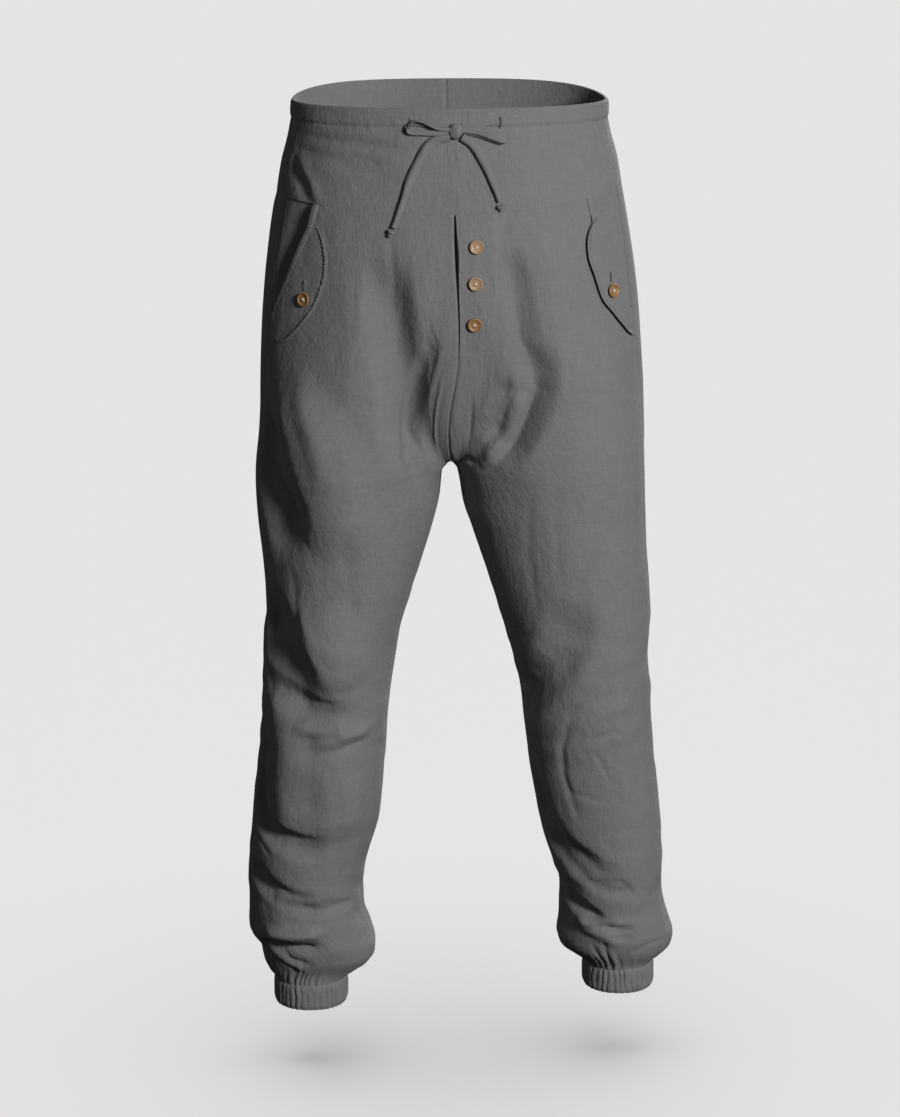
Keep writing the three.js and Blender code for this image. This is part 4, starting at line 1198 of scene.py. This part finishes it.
def make_welt(side, sizes):
    """The folded and stitched strip along a pocket opening."""
    top = float(yoke_down(side, np.array(0.8))) - 0.6
    heights = np.linspace(top, POCKET_END - 11, WELT_GRID[0])[:, None]
    turn = POCKET_TURN(heights) + 0.00175 * np.maximum(POCKET_END - heights, 0)
    length = half_length(side, "front", heights[:, 0])[:, None]
    share = np.linspace(0, 1, WELT_GRID[1])
    around = turn - WELT_WIDTH * (1 - share) / length
    down = heights + 0 * around
    rise, u = cloth_rise(side, around, down, sizes)
    rounded = 1 - np.abs(2 * share - 1) ** 8
    thick = 0.35 + WELT_HEIGHT[side] * rounded - 0.35 * hump(share, 0.2, 0.07)
    thick = thick - 0.3 * hump(share, 0.82, 0.07) + 0 * down
    outer, inner = patch(side, around, down, rise, thick, 0.45)
    hand = HANDS[side]
    obj = wall(f"pocket_strip_{hand}", outer, inner, np.stack((u, down), -1), sizes)
    place_piece(obj, f"pocket_welt_{hand}")
    for name, column in STRIP_LINES:
        stitches(f"strip_{name}_stitches_{hand}", outer[1:-1, column], sizes)


def make_flap(side, sizes):
    """A leaf-shaped pocket flap, with its puckered margin."""
    edge = dict(FLAP_EDGE[side])
    edge["row"] = np.arange(len(edge["down"]), dtype=float)
    rows = np.linspace(0, len(edge["down"]) - 1, FLAP_GRID[0])
    across, low, fold = (curve(edge, "row", key)(rows) for key in ("across", "down", "fold"))
    free = around_at(side, "front", across, low)
    hinge = POCKET_TURN(fold) - (WELT_WIDTH + FLAP_GAP) / half_length(side, "front", fold)
    hinge = hinge + 0.02 * smooth((-206 - fold) / 22)
    share = 1 - (1 - np.linspace(0, 1, FLAP_GRID[1])) ** 1.3
    around = mix(hinge[:, None], free[:, None], share)
    down = mix(fold[:, None], low[:, None], share)
    base = surface(side, around, down)
    width = run_along(base, 1)
    from_edge = width[:, -1:] - width
    along = run_along(base, 0)[:, -1:]
    rise, u = cloth_rise(side, around, down, sizes)
    lift = FLAP_LIFT[side] * smooth((share - 0.72) / 0.28)
    seam = 0.8 * hump(from_edge, 5.8, 1.2)
    pitch = 4.2 + 0.5 * bumps(66 + side, along, 0 * along, 14, 1)
    puckers = 0.6 * np.sin(along * 2 * math.pi / pitch) * hump(from_edge, 5, 2)
    puckers = puckers * (0.7 + 0.5 * bumps(68 + side, along, 0 * along, 9, 1))
    margin = 0.8 * hump(from_edge, 3, 2.4)
    row = np.arange(FLAP_GRID[0])
    ends = smooth(np.minimum(row, row[::-1]) / 16)[:, None]
    raised = (margin - seam + puckers) * ends * smooth(width / 4)
    body = 0.5 * bumps(60 + side, u, down, 16, 26) * smooth(from_edge / 12) * smooth(width / 6)
    outer, inner = patch(side, around, down, rise + lift, CLOTH - 0.1 + raised + body, 0.6)
    hand = HANDS[side]
    obj = wall(f"flap_{hand}", outer, inner, np.stack((u, down), -1), sizes)
    place_piece(obj, f"pocket_flap_{hand}")
    declare(outer)
    line = [[np.interp(-FLAP_LINE, -from_edge[i], outer[i, :, axis]) for axis in range(3)]
            for i in np.nonzero(width[:, -1] > 9)[0]]
    stitches(f"flap_stitches_{hand}", np.array(line), sizes)


def make_placket(sizes):
    """The upper layer of the fly, free along the opening and stitched down on its far side."""
    heights = np.linspace(FLY_ROWS["down"][0], FLY_ROWS["down"][-1], PLACKET_GRID[0])
    edge = curve(FLY_ROWS, "down", "edge")(heights)[:, None]
    width = curve(FLY_ROWS, "down", "width")(heights)[:, None]
    share = np.linspace(0, 1, PLACKET_GRID[1])
    down = heights[:, None] + 0 * share
    around = around_at(LEFT, "front", edge + width * share, down)
    down[0] = yoke_down(LEFT, around[0]) - 0.6
    rise, u = cloth_rise(LEFT, around, down, sizes)
    from_middle = around * half_length(LEFT, "front", down)
    rise = rise * smooth(from_middle / 6)
    far = width * (1 - share)
    below = (down - heights[-1]) * 0.14
    thin = smooth(np.minimum(far, below + 0.5) / 7)
    lift = 1.3 * fly_opening(down) * hump(from_middle, 0, 9)
    sewn = 0.22 * hump(far, 2.5, 0.9) + 0.18 * hump(from_middle, 5.5, 0.8)
    thick = 0.05 + (CLOTH - 0.05) * thin - sewn * thin
    outer, inner = patch(LEFT, around, down, rise + lift + 0.2 * thin, thick, 0.06)
    sway(outer, down)
    sway(inner, down)
    obj = wall("fly_layer", outer, inner, np.stack((u, down), -1), sizes)
    place_piece(obj, "fly_placket")
    declare(outer)
    stitches("fly_stitches", outer[2:-12, -3], sizes)


def make_band(name, nodes, places, sizes):
    """A piece of the yoke waistband with its drawstring casing."""
    columns = len(places)
    drops = np.concatenate((np.linspace(0, CASING, 40), np.linspace(28, CASING + BAND_REST, 34)))
    outer = np.zeros((len(drops), columns, 3))
    inner = outer.copy()
    cloth = np.zeros((len(drops), columns, 2))
    for side in (RIGHT, LEFT):
        here = [i for i, place in enumerate(places) if place[0] == side]
        if not here:
            continue
        around = np.array([places[i][1] for i in here])
        rim = rim_down(side, around)
        seam = yoke_down(side, around) + SEAM / 2
        drawn = drops[:, None]
        rest = CASING + (drawn - CASING) * (rim - seam - CASING) / BAND_REST
        drop = np.where(drawn > CASING, rest, drawn + 0 * rim)
        down = rim - drop
        turn = np.broadcast_to(around, down.shape)
        length = half_length(side, "front", np.array(-60.0))
        u = turn * length
        fade = smooth(drop / 12) * smooth((down - seam) / 8)
        soft = 0.55 * bumps(90 + side, u + 300, down, 30, 26) + 0.2 * bumps(93, u + 300, down, 9, 22)
        casing = 0.28 * bumps(95 + side, u + 300, down * 0, 5, 1) * hump(drop, 17, 7)
        out = lines(BAND_PROFILE, "drop", "out")(drop)
        rolled = 0.1 * hump(down, seam, 1.6)
        normal = outward(side, around, down)
        at = surface(side, around, down)
        pulled = sum(crease.rise(around, down) for crease in YOKE_CREASES if crease.key[0] == side)
        pulled = pulled * smooth((drop - 24) / 14) * smooth((1 - around) / 0.04) * (around <= 1)
        rise = out + sizes.crinkle * soft * fade + casing - rolled + pulled
        outer[:, here] = at + normal * rise[..., None]
        back_seam = 1.4 * hump((2 - turn) * length, 0, 1.7)
        inner[:, here] = at - normal * (BAND - back_seam)[..., None]
        cloth[:, here] = np.stack((side * u, down), -1)
    inner[0, :, 2] = outer[0, :, 2]
    inner[-1, :, 2] = outer[-1, :, 2]
    take_in(outer, inner)
    obj = wall(name, outer, inner, cloth, sizes)
    place_piece(obj, *nodes)
    declare(outer)
    row = int(np.argmin(np.abs(drops - CASING_LINE)))
    stitches(f"{name}_casing_stitches", outer[row, 1:-1], sizes)
    rim_row = int(np.argmin(np.abs(drops - RIM_LINE)))
    stitches(f"{name}_rim_stitches", outer[rim_row, 1:-1], sizes)


def make_cuff(side, sizes):
    """A gathered elastic cuff with uneven rounded flutes."""
    columns = sizes.flutes * FLUTE_COLUMNS
    share = np.linspace(0, 1, CUFF_ROWS)[:, None]
    around = np.linspace(0, 2, columns, endpoint=False)
    down = mix(CUFF_TOP[side] - SEAM / 2, CUFF_BOTTOM[side], share) + 0 * around
    seed = 51 if side == RIGHT else 61
    sway = 0.35 * bumps(seed, around * 14, share * 2 + 0 * around, 1, 1)
    # The noise comes back to where it began, so that the ring closes.
    close = smooth(np.minimum(around, 2 - around) / 0.12)
    phase = around / 2 * sizes.flutes + sway * close
    tall = 0.7 + 0.5 * bumps(seed + 1, around * 15, share * 1.4 + 0 * around, 1, 1) * close
    wave = np.abs(np.cos(math.pi * phase)) ** 0.7 * 2 - 1.1
    pressed = 1 - 0.45 * hump(share, 0.06, 0.05) - 0.4 * hump(share, 0.95, 0.05)
    belly = np.interp(share, [0, 0.12, 0.3, 0.85, 1], [-1, 0.7, 1.2, 1.1, -0.4])
    rise = belly + sizes.flute * tall * wave * pressed
    normal = outward(side, around, np.full(columns, float(CUFF_BOTTOM[side])))
    at = surface(side, around, down)
    outer = at + normal * rise[..., None]
    inner = at - normal * (1.4 + 0 * rise)[..., None] + normal * (0.35 * wave * pressed)[..., None]
    u = around * CUFF_TURN
    hand = HANDS[side]
    cloth = np.stack((u + 0 * down, down), -1)
    obj = wall(f"elastic_cuff_{hand}", outer, inner, cloth, sizes, ring=True)
    place_piece(obj, f"cuff_{hand}")
    declare(outer, ring=True)


def stitches(name, path, sizes):
    """A run of stitches lying on the cloth along a path."""
    pitch = sizes.stitch_pitch
    middles = np.arange(pitch / 2, run_of(path)[-1], pitch)
    ends = [along_path(path, middles + shift)
            for shift in (-pitch * STITCH_SHARE, pitch * STITCH_SHARE)]
    ahead = unit(ends[1] - ends[0])
    out = (ends[0] + ends[1]) / 2
    out[:, 2] = 0
    out = unit(out - ahead * (out * ahead).sum(-1, keepdims=True))
    side = np.cross(ahead, out)
    points = []
    faces = []
    for i in range(len(middles)):
        start = len(points)
        points.append(ends[0][i])
        for at in (0.25, 0.75):
            middle = mix(ends[0][i], ends[1][i], at) + out[i] * STITCH_STAND
            for a, b in ((1, 0), (0, 1), (-1, 0), (0, -1)):
                points.append(middle + side[i] * a * STITCH_WIDE + out[i] * b * STITCH_THICK)
        points.append(ends[1][i])
        for s in range(4):
            t = (s + 1) % 4
            faces.append((start, start + 1 + t, start + 1 + s))
            faces.append((start + 1 + s, start + 1 + t, start + 5 + t, start + 5 + s))
            faces.append((start + 9, start + 5 + s, start + 5 + t))
    trim(mesh_object(name, np.array(points), faces, None, sewing_thread(sizes)))


def tie_places(count, sides, along):
    """Places of the tie's threads on a tube with so many points and sides."""
    return np.stack((np.tile(np.arange(sides) * TIE_STEP, count), np.repeat(along, sides)), -1)


def make_tails(sizes):
    """The two free ends of the drawstring and the knots on them."""
    for side, rows in TAILS.items():
        hand = HANDS[side]
        path = smooth_path(in_front(columns_of(rows)), TIE_POINTS)
        t = np.linspace(0, 1, TIE_POINTS)
        half_wide = TIE_WIDTH / 2 * np.interp(t, [0, 0.22, 0.6, 1], [0.8, 1, 0.85, 0.6])
        half_wide = half_wide * (1 + 0.06 * np.sin(t * 17 + side))
        points, faces = tube(path, half_wide, TAIL_THICK / 2, TIE_SIDES, (1, 0, 0.3 * side))
        run = run_of(path)
        # Pressed folds run along the tie, where its edges are turned in.
        ring = np.tile(np.arange(TIE_SIDES), TIE_POINTS) * 2 * math.pi / TIE_SIDES
        middle = np.repeat(path, TIE_SIDES, axis=0)
        points = middle + (points - middle) * (1 + 0.16 * np.cos(3 * ring + 0.8))[:, None]
        places = tie_places(TIE_POINTS, TIE_SIDES, run)
        tail = mesh_object(f"tie_tail_{hand}", points, faces, places, tie_cloth(sizes))
        place_piece(tail, f"drawstring_tail_{hand}", slot="tie_cloth")
        end = make_end_knot(side, path[-1] - path[-4], sizes)


def make_end_knot(side, ahead, sizes):
    """A small overhand knot with a short tip past it."""
    centre = in_front([END_KNOTS[side]])[0]
    ahead = ahead / np.linalg.norm(ahead)
    out = np.array([0.0, -1, 0])
    across = np.cross(ahead, out)
    turns = np.linspace(0, 2 * math.pi, 29)
    wrap = [centre + across * 3 * math.cos(t) + out * 1.7 * math.sin(t)
            + ahead * (0.9 * math.sin(t) - 0.5) for t in turns[:-1]]
    tip = smooth_path([centre - ahead * 2.6, centre + ahead * 1.5, centre + ahead * 4.6], 12)
    width = np.interp(np.linspace(0, 1, 12), [0, 0.5, 1], [1.9, 1.6, 2.6])
    points, faces = join(tube(np.array(wrap), 1.9, 1.35, ring=True),
                         tube(tip, width, width * 0.5, wide_along=across))
    hand = HANDS[side]
    end = mesh_object(f"tie_end_{hand}", points, faces, points[:, [0, 2]], tie_cloth(sizes))
    place_piece(end, f"drawstring_end_{hand}", slot="tie_cloth")
    return end


def make_bow(sizes):
    """The drawstring's knot, its two loops and the leads into the casing."""
    cloth = tie_cloth(sizes)
    for side in (RIGHT, LEFT):
        hand = HANDS[side]
        rows = LOOPS[side]
        key_points = in_front(columns_of(rows)[:, :3])
        path = smooth_path(key_points, LOOP_POINTS)
        run = run_of(key_points)
        at = np.linspace(0, run[-1], LOOP_POINTS)
        half = np.interp(at, run, rows["half"])
        tilt = np.interp(at, run, rows["tilt"])
        along = np.stack((0 * tilt, -np.cos(tilt), -np.sin(tilt)), -1)
        places = tie_places(LOOP_POINTS, LOOP_SIDES, at)
        shape = tube(path, half, LOOP_THICK / 2, LOOP_SIDES, along)
        loop = mesh_object(f"tie_loop_{hand}", *shape, places, cloth)
        place_piece(loop, f"drawstring_loop_{hand}", slot="tie_cloth")
        path = smooth_path(in_front(LEADS[side]), LEAD_POINTS)
        places = tie_places(LEAD_POINTS, LEAD_SIDES, np.arange(LEAD_POINTS) * 1.8)
        shape = tube(path, LEAD_HALF, 0.6, LEAD_SIDES, (0, 0, 1))
        lead = mesh_object(f"tie_lead_{hand}", *shape, places, cloth)
        place_piece(lead, f"drawstring_lead_{hand}", slot="tie_cloth")
    centre = in_front([KNOT])[0]
    # The wrap is a ring that leans by the tilt and goes round a short core.
    tilt = math.radians(14)
    wide, deep, tall = 7.4, 3.4, 6.9
    turns = full_turn(KNOT_POINTS)
    wrap = np.stack((
        centre[0] + wide * np.sin(turns) * math.sin(tilt) + 0.6 * np.cos(2 * turns),
        centre[1] + deep * np.cos(turns),
        centre[2] + tall * np.sin(turns) * math.cos(tilt),
    ), -1)
    points, faces = tube(wrap, 4.3, 1.3, KNOT_SIDES, (1, 0, -0.25), ring=True)
    ridge = 1 + 0.13 * np.cos(np.arange(KNOT_SIDES) * 2 * math.pi / KNOT_SIDES * 4)
    ridges = np.tile(ridge, KNOT_POINTS)
    middle = np.repeat(wrap, KNOT_SIDES, axis=0)
    points = middle + (points - middle) * ridges[:, None]
    core = smooth_path(centre + np.array([(-6.2, 0.6, 1.2), (0, 0.3, 0), (6.2, 0.6, 0.6)]), 16)
    points, faces = join((points, faces), tube(core, 5.2, 2.9, 16, (0, 0, 1)))
    knot = mesh_object("tie_knot", points, faces, points[:, [0, 2]], cloth)
    place_piece(knot, "drawstring_knot", slot="tie_cloth")


def turned_button(radius, height):
    """A turned button with a raised rim and four holes, lying face up."""
    profile = [
        (0, 0), (radius - 1, 0), (radius - 0.4, 0.25), (radius, 0.9), (radius - 0.05, height - 0.7),
        (radius - 0.45, height - 0.15), (radius - 1, height), (radius - 1.6, height - 0.15),
        (radius - 2, height - 0.8), (radius - 2.7, height - 1.15), (radius - 5, height - 1.25),
        (0, height - 1.3),
    ]
    sides = BUTTON_SIDES
    edit = bmesh.new()
    rings = [[edit.verts.new((r * math.cos(a), r * math.sin(a), z))
              for a in np.arange(sides) * 2 * math.pi / sides] for r, z in profile[1:-1]]
    for low, high in zip(rings, rings[1:]):
        for s in range(sides):
            edit.faces.new((low[s], low[(s + 1) % sides], high[(s + 1) % sides], high[s]))
    edit.faces.new(list(reversed(rings[0])))
    edit.faces.new(rings[-1])
    body = bpy.data.meshes.new("button_blank")
    edit.to_mesh(body)
    edit.free()
    drill = bmesh.new()
    for x, y in ((1, 1), (-1, 1), (-1, -1), (1, -1)):
        place = Matrix.Translation((x * HOLE_PLACE, y * HOLE_PLACE, 1))
        bmesh.ops.create_cone(drill, cap_ends=True, segments=16, radius1=HOLE_RADIUS,
                              radius2=HOLE_RADIUS, depth=12, matrix=place)
    holes = bpy.data.meshes.new("button_holes")
    drill.to_mesh(holes)
    drill.free()
    blank = bpy.data.objects.new("button_blank", body)
    cutter = bpy.data.objects.new("button_holes", holes)
    for obj in (blank, cutter):
        link(obj)
    cut = blank.modifiers.new("holes", "BOOLEAN")
    cut.object = cutter
    cut.operation = "DIFFERENCE"
    graph = bpy.context.evaluated_depsgraph_get()
    mesh = bpy.data.meshes.new_from_object(blank.evaluated_get(graph))
    for obj in (blank, cutter):
        bpy.data.objects.remove(obj)
    mesh.transform(Matrix.Scale(MM, 4))
    mesh.polygons.foreach_set("use_smooth", [len(face.vertices) == 4 for face in mesh.polygons])
    return mesh


def spot(side, across, down, off, sizes):
    """A place so far off the front's worn cloth, the direction out of it, and its turn."""
    around = around_at(side, "front", across, down)
    normal = outward(side, around, down)
    rise = 0
    if down < YOKE_FRONT:
        rise = cloth_rise(side, np.array([around]), np.array([float(down)]), sizes)[0][0]
    return surface(side, around, down) + normal * (off + rise), normal, around


def make_buttons(buttons, sizes):
    """Five turned wooden buttons, each sewn on with a cross of pale thread."""
    woods = {
        "pale_wood": turned_wood("pale_wood", buttons.wood_dark, buttons.wood_light),
        "brown_wood": turned_wood("brown_wood", buttons.wood_dark, buttons.wood_brown),
    }
    pale = twisted_thread("pale_thread", buttons.thread_dark, buttons.thread_light)
    height = buttons.height / MM
    shape = turned_button(buttons.diameter / MM / 2, height)
    strands = []
    x = HOLE_PLACE
    for y, top in ((x, height - 0.55), (-x, height - 0.55 + 0.35)):
        path = smooth_path([(x, y, 0.4), (x * 0.9, y * 0.9, top - 0.5), (0, 0, top),
                            (-x * 0.9, -y * 0.9, top - 0.5), (-x, -y, 0.4)], 20)
        strands.append(tube(path, 0.42, 0.42, 10, (0.7, -0.7 * np.sign(y), 0)))
    shank = np.array([(0, 0, z) for z in (-0.9, -0.5, 0, 0.3)], float)
    cross = join(*strands, tube(shank, 1.3, 1.3, 10, (0.7, 0.1, 0.2)))
    for name, (side, across, down, stand, degrees, wood) in BUTTONS.items():
        at, normal = spot(side, across, down, stand, sizes)[:2]
        turn = Vector(normal).to_track_quat("Z", "Y").to_matrix().to_4x4()
        spin = Matrix.Rotation(math.radians(degrees), 4, "Z")
        place = Matrix.Translation(Vector(at * MM)) @ turn @ spin
        obj = bpy.data.objects.new(f"wood_{name}", shape.copy())
        obj.data.materials.append(woods[wood])
        link(obj)
        obj.matrix_world = place
        place_piece(obj, name, slot="button_wood")
        thread = mesh_object(f"{name}_thread", *cross, None, pale)
        thread.matrix_world = place
        trim(thread)


def make_buttonholes(sizes):
    """Upright buttonholes, worked round with close thread, with a near-black sheet of painted shade
    down each slit.
    """
    # The slit's near-black colour is painted shade: it stands for the shadow inside the cut.
    dark = finish_of("buttonhole_painted_shade", twisted_thread, "#1c1c1c", "#262626")
    for name, (side, across, down, off) in BUTTONHOLES.items():
        centre, normal, around = spot(side, across, down, off, sizes)
        up = unit(surface(side, around, down + 2.0) - surface(side, around, down - 2.0))
        wide = np.cross(up, normal)
        loop = [centre + up * HOLE_TALL * math.sin(t)
                + wide * HOLE_WIDE * np.sign(math.cos(t)) * abs(math.cos(t)) ** 0.5
                for t in full_turn(36)]
        ring = tube(np.array(loop), THREAD_WIDE, THREAD_THICK, 8, normal, ring=True)
        # A thin dark sheet down the slit, sunk a little under the thread: painted shade, not cloth.
        slit = [centre - normal * 0.1 + up * z for z in np.linspace(-SLIT_TALL, SLIT_TALL, 12)]
        half_gap = np.sqrt(np.linspace(-1, 1, 12) ** 2 * -0.95 + 1) * THREAD_WIDE
        gap = tube(np.array(slit), half_gap, 0.12, 8, wide)
        trim(mesh_object(name, *ring, None, sewing_thread(sizes)))
        trim(mesh_object(f"{name}_slit", *gap, None, dark))


def area_light(name, place, target, size, power):
    data = bpy.data.lights.new(name, "AREA")
    data.shape = "DISK"
    data.size = size
    data.energy = power
    light = bpy.data.objects.new(name, data)
    light.location = place
    light.rotation_euler = (Vector(place) - Vector(target)).to_track_quat("Z", "Y").to_euler()
    link(light)
    return light


def make_stage(studio):
    """A plain pale floor, a soft key light from the wearer's left and weak fills."""
    scene = bpy.context.scene
    level = studio.floor_height / MM
    corners = [(x * FLOOR_HALF / MM, y * FLOOR_HALF / MM, level)
               for x, y in ((-1, -1), (1, -1), (1, 1), (-1, 1))]
    floor = mesh_object("studio_floor", corners, [(0, 1, 2, 3)], None,
                        pale_floor("matt_floor", studio.floor_colour), soft=False)
    # The floor only catches the shadow: its bounce would wash out the folds.
    floor.visible_diffuse = False
    floor.visible_glossy = False
    middle = (0, 0, -0.5)
    lights = [
        area_light("key_light", (2.15, -3.6, 1.1), middle, 1.0, studio.key),
        area_light("side_light", (4.0, -0.6, 0.6), middle, 1.4, studio.key * 0.05),
        area_light("fill_light", (-2.6, -3.4, 0.2), middle, 2.5, studio.key * 0.055),
        area_light("back_light", (1.6, 3.4, 1.4), middle, 1.8, studio.key * 0.8),
        area_light("back_fill", (-3.4, 2.2, 0.4), middle, 2.5, studio.key * 0.05),
    ]
    only = bpy.data.collections.new("lit_by_studio_lights")
    only.objects.link(floor)
    only.collection_objects[0].light_linking.link_state = "EXCLUDE"
    for light in lights:
        light.light_linking.receiver_collection = only
    data = bpy.data.lights.new("overhead_light", "SUN")
    data.energy = studio.overhead
    data.angle = math.radians(64)
    overhead = bpy.data.objects.new("overhead_light", data)
    link(overhead)
    floor_only = bpy.data.collections.new("lit_from_overhead")
    floor_only.objects.link(floor)
    overhead.light_linking.receiver_collection = floor_only
    world = bpy.data.worlds.new("pale_studio")
    world.use_nodes = True
    world.node_tree.nodes["Background"].inputs["Color"].default_value = linear(studio.floor_colour)
    world.cycles_visibility.diffuse = False
    world.cycles_visibility.glossy = False
    scene.world = world
    scene.view_settings.view_transform = "Standard"


class PantsCloth(PropertyGroup):
    creases: FloatProperty(
        name="Creases", description="How deep the creases are, beside the ones shown", default=1.0,
        min=0, max=1.5)
    crinkle: FloatProperty(
        name="Crinkle", description="How deep the crumple of the washed cotton is", default=1.0,
        min=0, max=1.5)
    gather: FloatProperty(
        name="Gathers", description="Depth of the gathers above the cuffs, in millimetres",
        default=2.0, min=0, max=3)
    flutes: IntProperty(
        name="Flutes", description="Flutes round each cuff", default=40, min=20, max=60)
    flute: FloatProperty(
        name="Flute depth", description="Depth of the cuffs' flutes, in millimetres", default=1.25,
        min=0, max=2)
    fly_gap: FloatProperty(
        name="Fly gap", description="How deep the fly opens, in millimetres", default=4.5, min=0,
        max=8)
    stitch_pitch: FloatProperty(
        name="Stitch pitch", description="Length of a stitch with its gap, in millimetres",
        default=3.0, min=2, max=5)
    cloth_dark: StringProperty(
        name="Cloth, dark", description="Darker cloth colour", default="#5f5f5f")
    cloth_light: StringProperty(
        name="Cloth, light", description="Lighter cloth colour", default="#7d7d7d")
    tie_dark: StringProperty(name="Tie, dark", description="Darker tie colour", default="#5e5e5d")
    tie_light: StringProperty(name="Tie, light", description="Lighter tie colour", default="#7c7c7b")
    thread_dark: StringProperty(name="Thread, dark", description="Darker thread", default="#6e6e6e")
    thread_light: StringProperty(name="Thread, light", description="Lighter thread", default="#808080")


class PantsButtons(PropertyGroup):
    diameter: FloatProperty(
        name="Diameter", description="Across a button", default=0.0154, unit="LENGTH", min=0.008,
        max=0.025)
    height: FloatProperty(
        name="Height", description="Thickness of a button at its rim", default=0.0028,
        unit="LENGTH", min=0.002, max=0.005)
    wood_dark: StringProperty(name="Wood, dark", description="Darker grain", default="#4a2d18")
    wood_light: StringProperty(name="Wood, light", description="Lighter grain", default="#c8a37e")
    wood_brown: StringProperty(name="Wood, brown", description="Lighter grain of the browner buttons",
                               default="#ae8350")
    thread_dark: StringProperty(name="Thread, dark", description="Darker thread", default="#cfc4b6")
    thread_light: StringProperty(name="Thread, light", description="Lighter thread", default="#f2ece2")


class PantsStudio(PropertyGroup):
    floor_height: FloatProperty(
        name="Floor", description="Height of the floor under the waist", default=-1.1, unit="LENGTH")
    floor_colour: StringProperty(name="Floor colour", description="Pale floor", default="#e3e3e2")
    key: FloatProperty(name="Key light", description="Power of the key light", default=208, min=0,
                       unit="POWER")
    overhead: FloatProperty(name="Overhead light", description="Strength over the floor", default=1.57,
                            min=0)


class PANTS_OT_camera(Operator):
    """Places the camera at the photograph's view"""
    bl_idname = "pants.camera"
    bl_label = "Camera"

    def execute(self, context):
        place_camera()
        return {"FINISHED"}


class PANTS_OT_tie_ends(Operator):
    """Makes the drawstring's two free ends"""
    bl_idname = "pants.tie_ends"
    bl_label = "Drawstring ends"

    def execute(self, context):
        make_tails(context.scene.pants_cloth)
        return {"FINISHED"}


class PANTS_OT_leg_panels(Operator):
    """Makes the front and back leg panels"""
    bl_idname = "pants.leg_panels"
    bl_label = "Leg panels"

    def execute(self, context):
        sizes = context.scene.pants_cloth
        for half in ("front", "back"):
            panels = {side: make_panel(side, half, sizes) for side in (RIGHT, LEFT)}
            tape = make_seam_tape(half, panels, sizes)
            for side in (RIGHT, LEFT):
                declare(panels[side][1])
        return {"FINISHED"}


class PANTS_OT_waistband(Operator):
    """Makes the yoke waistband with its drawstring casing"""
    bl_idname = "pants.waistband"
    bl_label = "Waistband"

    def execute(self, context):
        sizes = context.scene.pants_cloth
        turns = np.linspace(0, 1, BAND_COLUMNS)
        front = [(RIGHT, turn) for turn in turns[::-1]] + [(LEFT, turn) for turn in turns[1:]]
        make_band("waistband_yoke_front", ["waistband_front"], front, sizes)
        for side in (RIGHT, LEFT):
            hand = HANDS[side]
            back = [(side, turn + 1) for turn in turns]
            make_band(f"waistband_yoke_{hand}", [f"waistband_back_{hand}"], back, sizes)
        return {"FINISHED"}


class PANTS_OT_pockets(Operator):
    """Makes the pocket openings with their hip pieces, strips and flaps"""
    bl_idname = "pants.pockets"
    bl_label = "Pockets"

    def execute(self, context):
        for side in (RIGHT, LEFT):
            for make in (make_hip, make_welt, make_flap):
                make(side, context.scene.pants_cloth)
        return {"FINISHED"}


class PANTS_OT_fly(Operator):
    """Makes the upper layer of the fly"""
    bl_idname = "pants.fly"
    bl_label = "Fly"

    def execute(self, context):
        make_placket(context.scene.pants_cloth)
        return {"FINISHED"}


class PANTS_OT_cuffs(Operator):
    """Makes the gathered elastic cuffs"""
    bl_idname = "pants.cuffs"
    bl_label = "Cuffs"

    def execute(self, context):
        for side in (RIGHT, LEFT):
            make_cuff(side, context.scene.pants_cloth)
        return {"FINISHED"}


class PANTS_OT_bow(Operator):
    """Makes the drawstring's knot, loops and leads"""
    bl_idname = "pants.bow"
    bl_label = "Bow"

    def execute(self, context):
        make_bow(context.scene.pants_cloth)
        return {"FINISHED"}


class PANTS_OT_buttons(Operator):
    """Makes the wooden buttons and the buttonholes"""
    bl_idname = "pants.buttons"
    bl_label = "Buttons"

    def execute(self, context):
        make_buttons(context.scene.pants_buttons, context.scene.pants_cloth)
        make_buttonholes(context.scene.pants_cloth)
        return {"FINISHED"}


class PANTS_OT_studio(Operator):
    """Makes the floor and the lights"""
    bl_idname = "pants.studio"
    bl_label = "Studio"

    def execute(self, context):
        make_stage(context.scene.pants_studio)
        return {"FINISHED"}


OPERATORS = (
    PANTS_OT_camera, PANTS_OT_tie_ends, PANTS_OT_leg_panels, PANTS_OT_waistband, PANTS_OT_pockets,
    PANTS_OT_fly, PANTS_OT_cuffs, PANTS_OT_bow, PANTS_OT_buttons, PANTS_OT_studio,
)


class PANTS_PT_panel(Panel):
    """Sizes and colours of the pants, with a button for each group of pieces"""
    bl_label = "Harem Pants"
    bl_space_type = "VIEW_3D"
    bl_region_type = "UI"
    bl_category = "Harem Pants"

    def draw(self, context):
        for group in (context.scene.pants_cloth, context.scene.pants_buttons,
                      context.scene.pants_studio):
            for name in group.bl_rna.properties.keys():
                if name not in ("rna_type", "name"):
                    self.layout.prop(group, name)
        for operator in OPERATORS:
            self.layout.operator(operator.bl_idname)


CLASSES = (PantsCloth, PantsButtons, PantsStudio, *OPERATORS, PANTS_PT_panel)


def register():
    for made in CLASSES:
        bpy.utils.register_class(made)
    bpy.types.Scene.pants_cloth = PointerProperty(type=PantsCloth)
    bpy.types.Scene.pants_buttons = PointerProperty(type=PantsButtons)
    bpy.types.Scene.pants_studio = PointerProperty(type=PantsStudio)


def unregister():
    del bpy.types.Scene.pants_studio
    del bpy.types.Scene.pants_buttons
    del bpy.types.Scene.pants_cloth
    for made in reversed(CLASSES):
        bpy.utils.unregister_class(made)


def main():
    register()
    for operator in OPERATORS:
        group, name = operator.bl_idname.split(".")
        getattr(getattr(bpy.ops, group), name)()


if __name__ == "__main__":
    main()
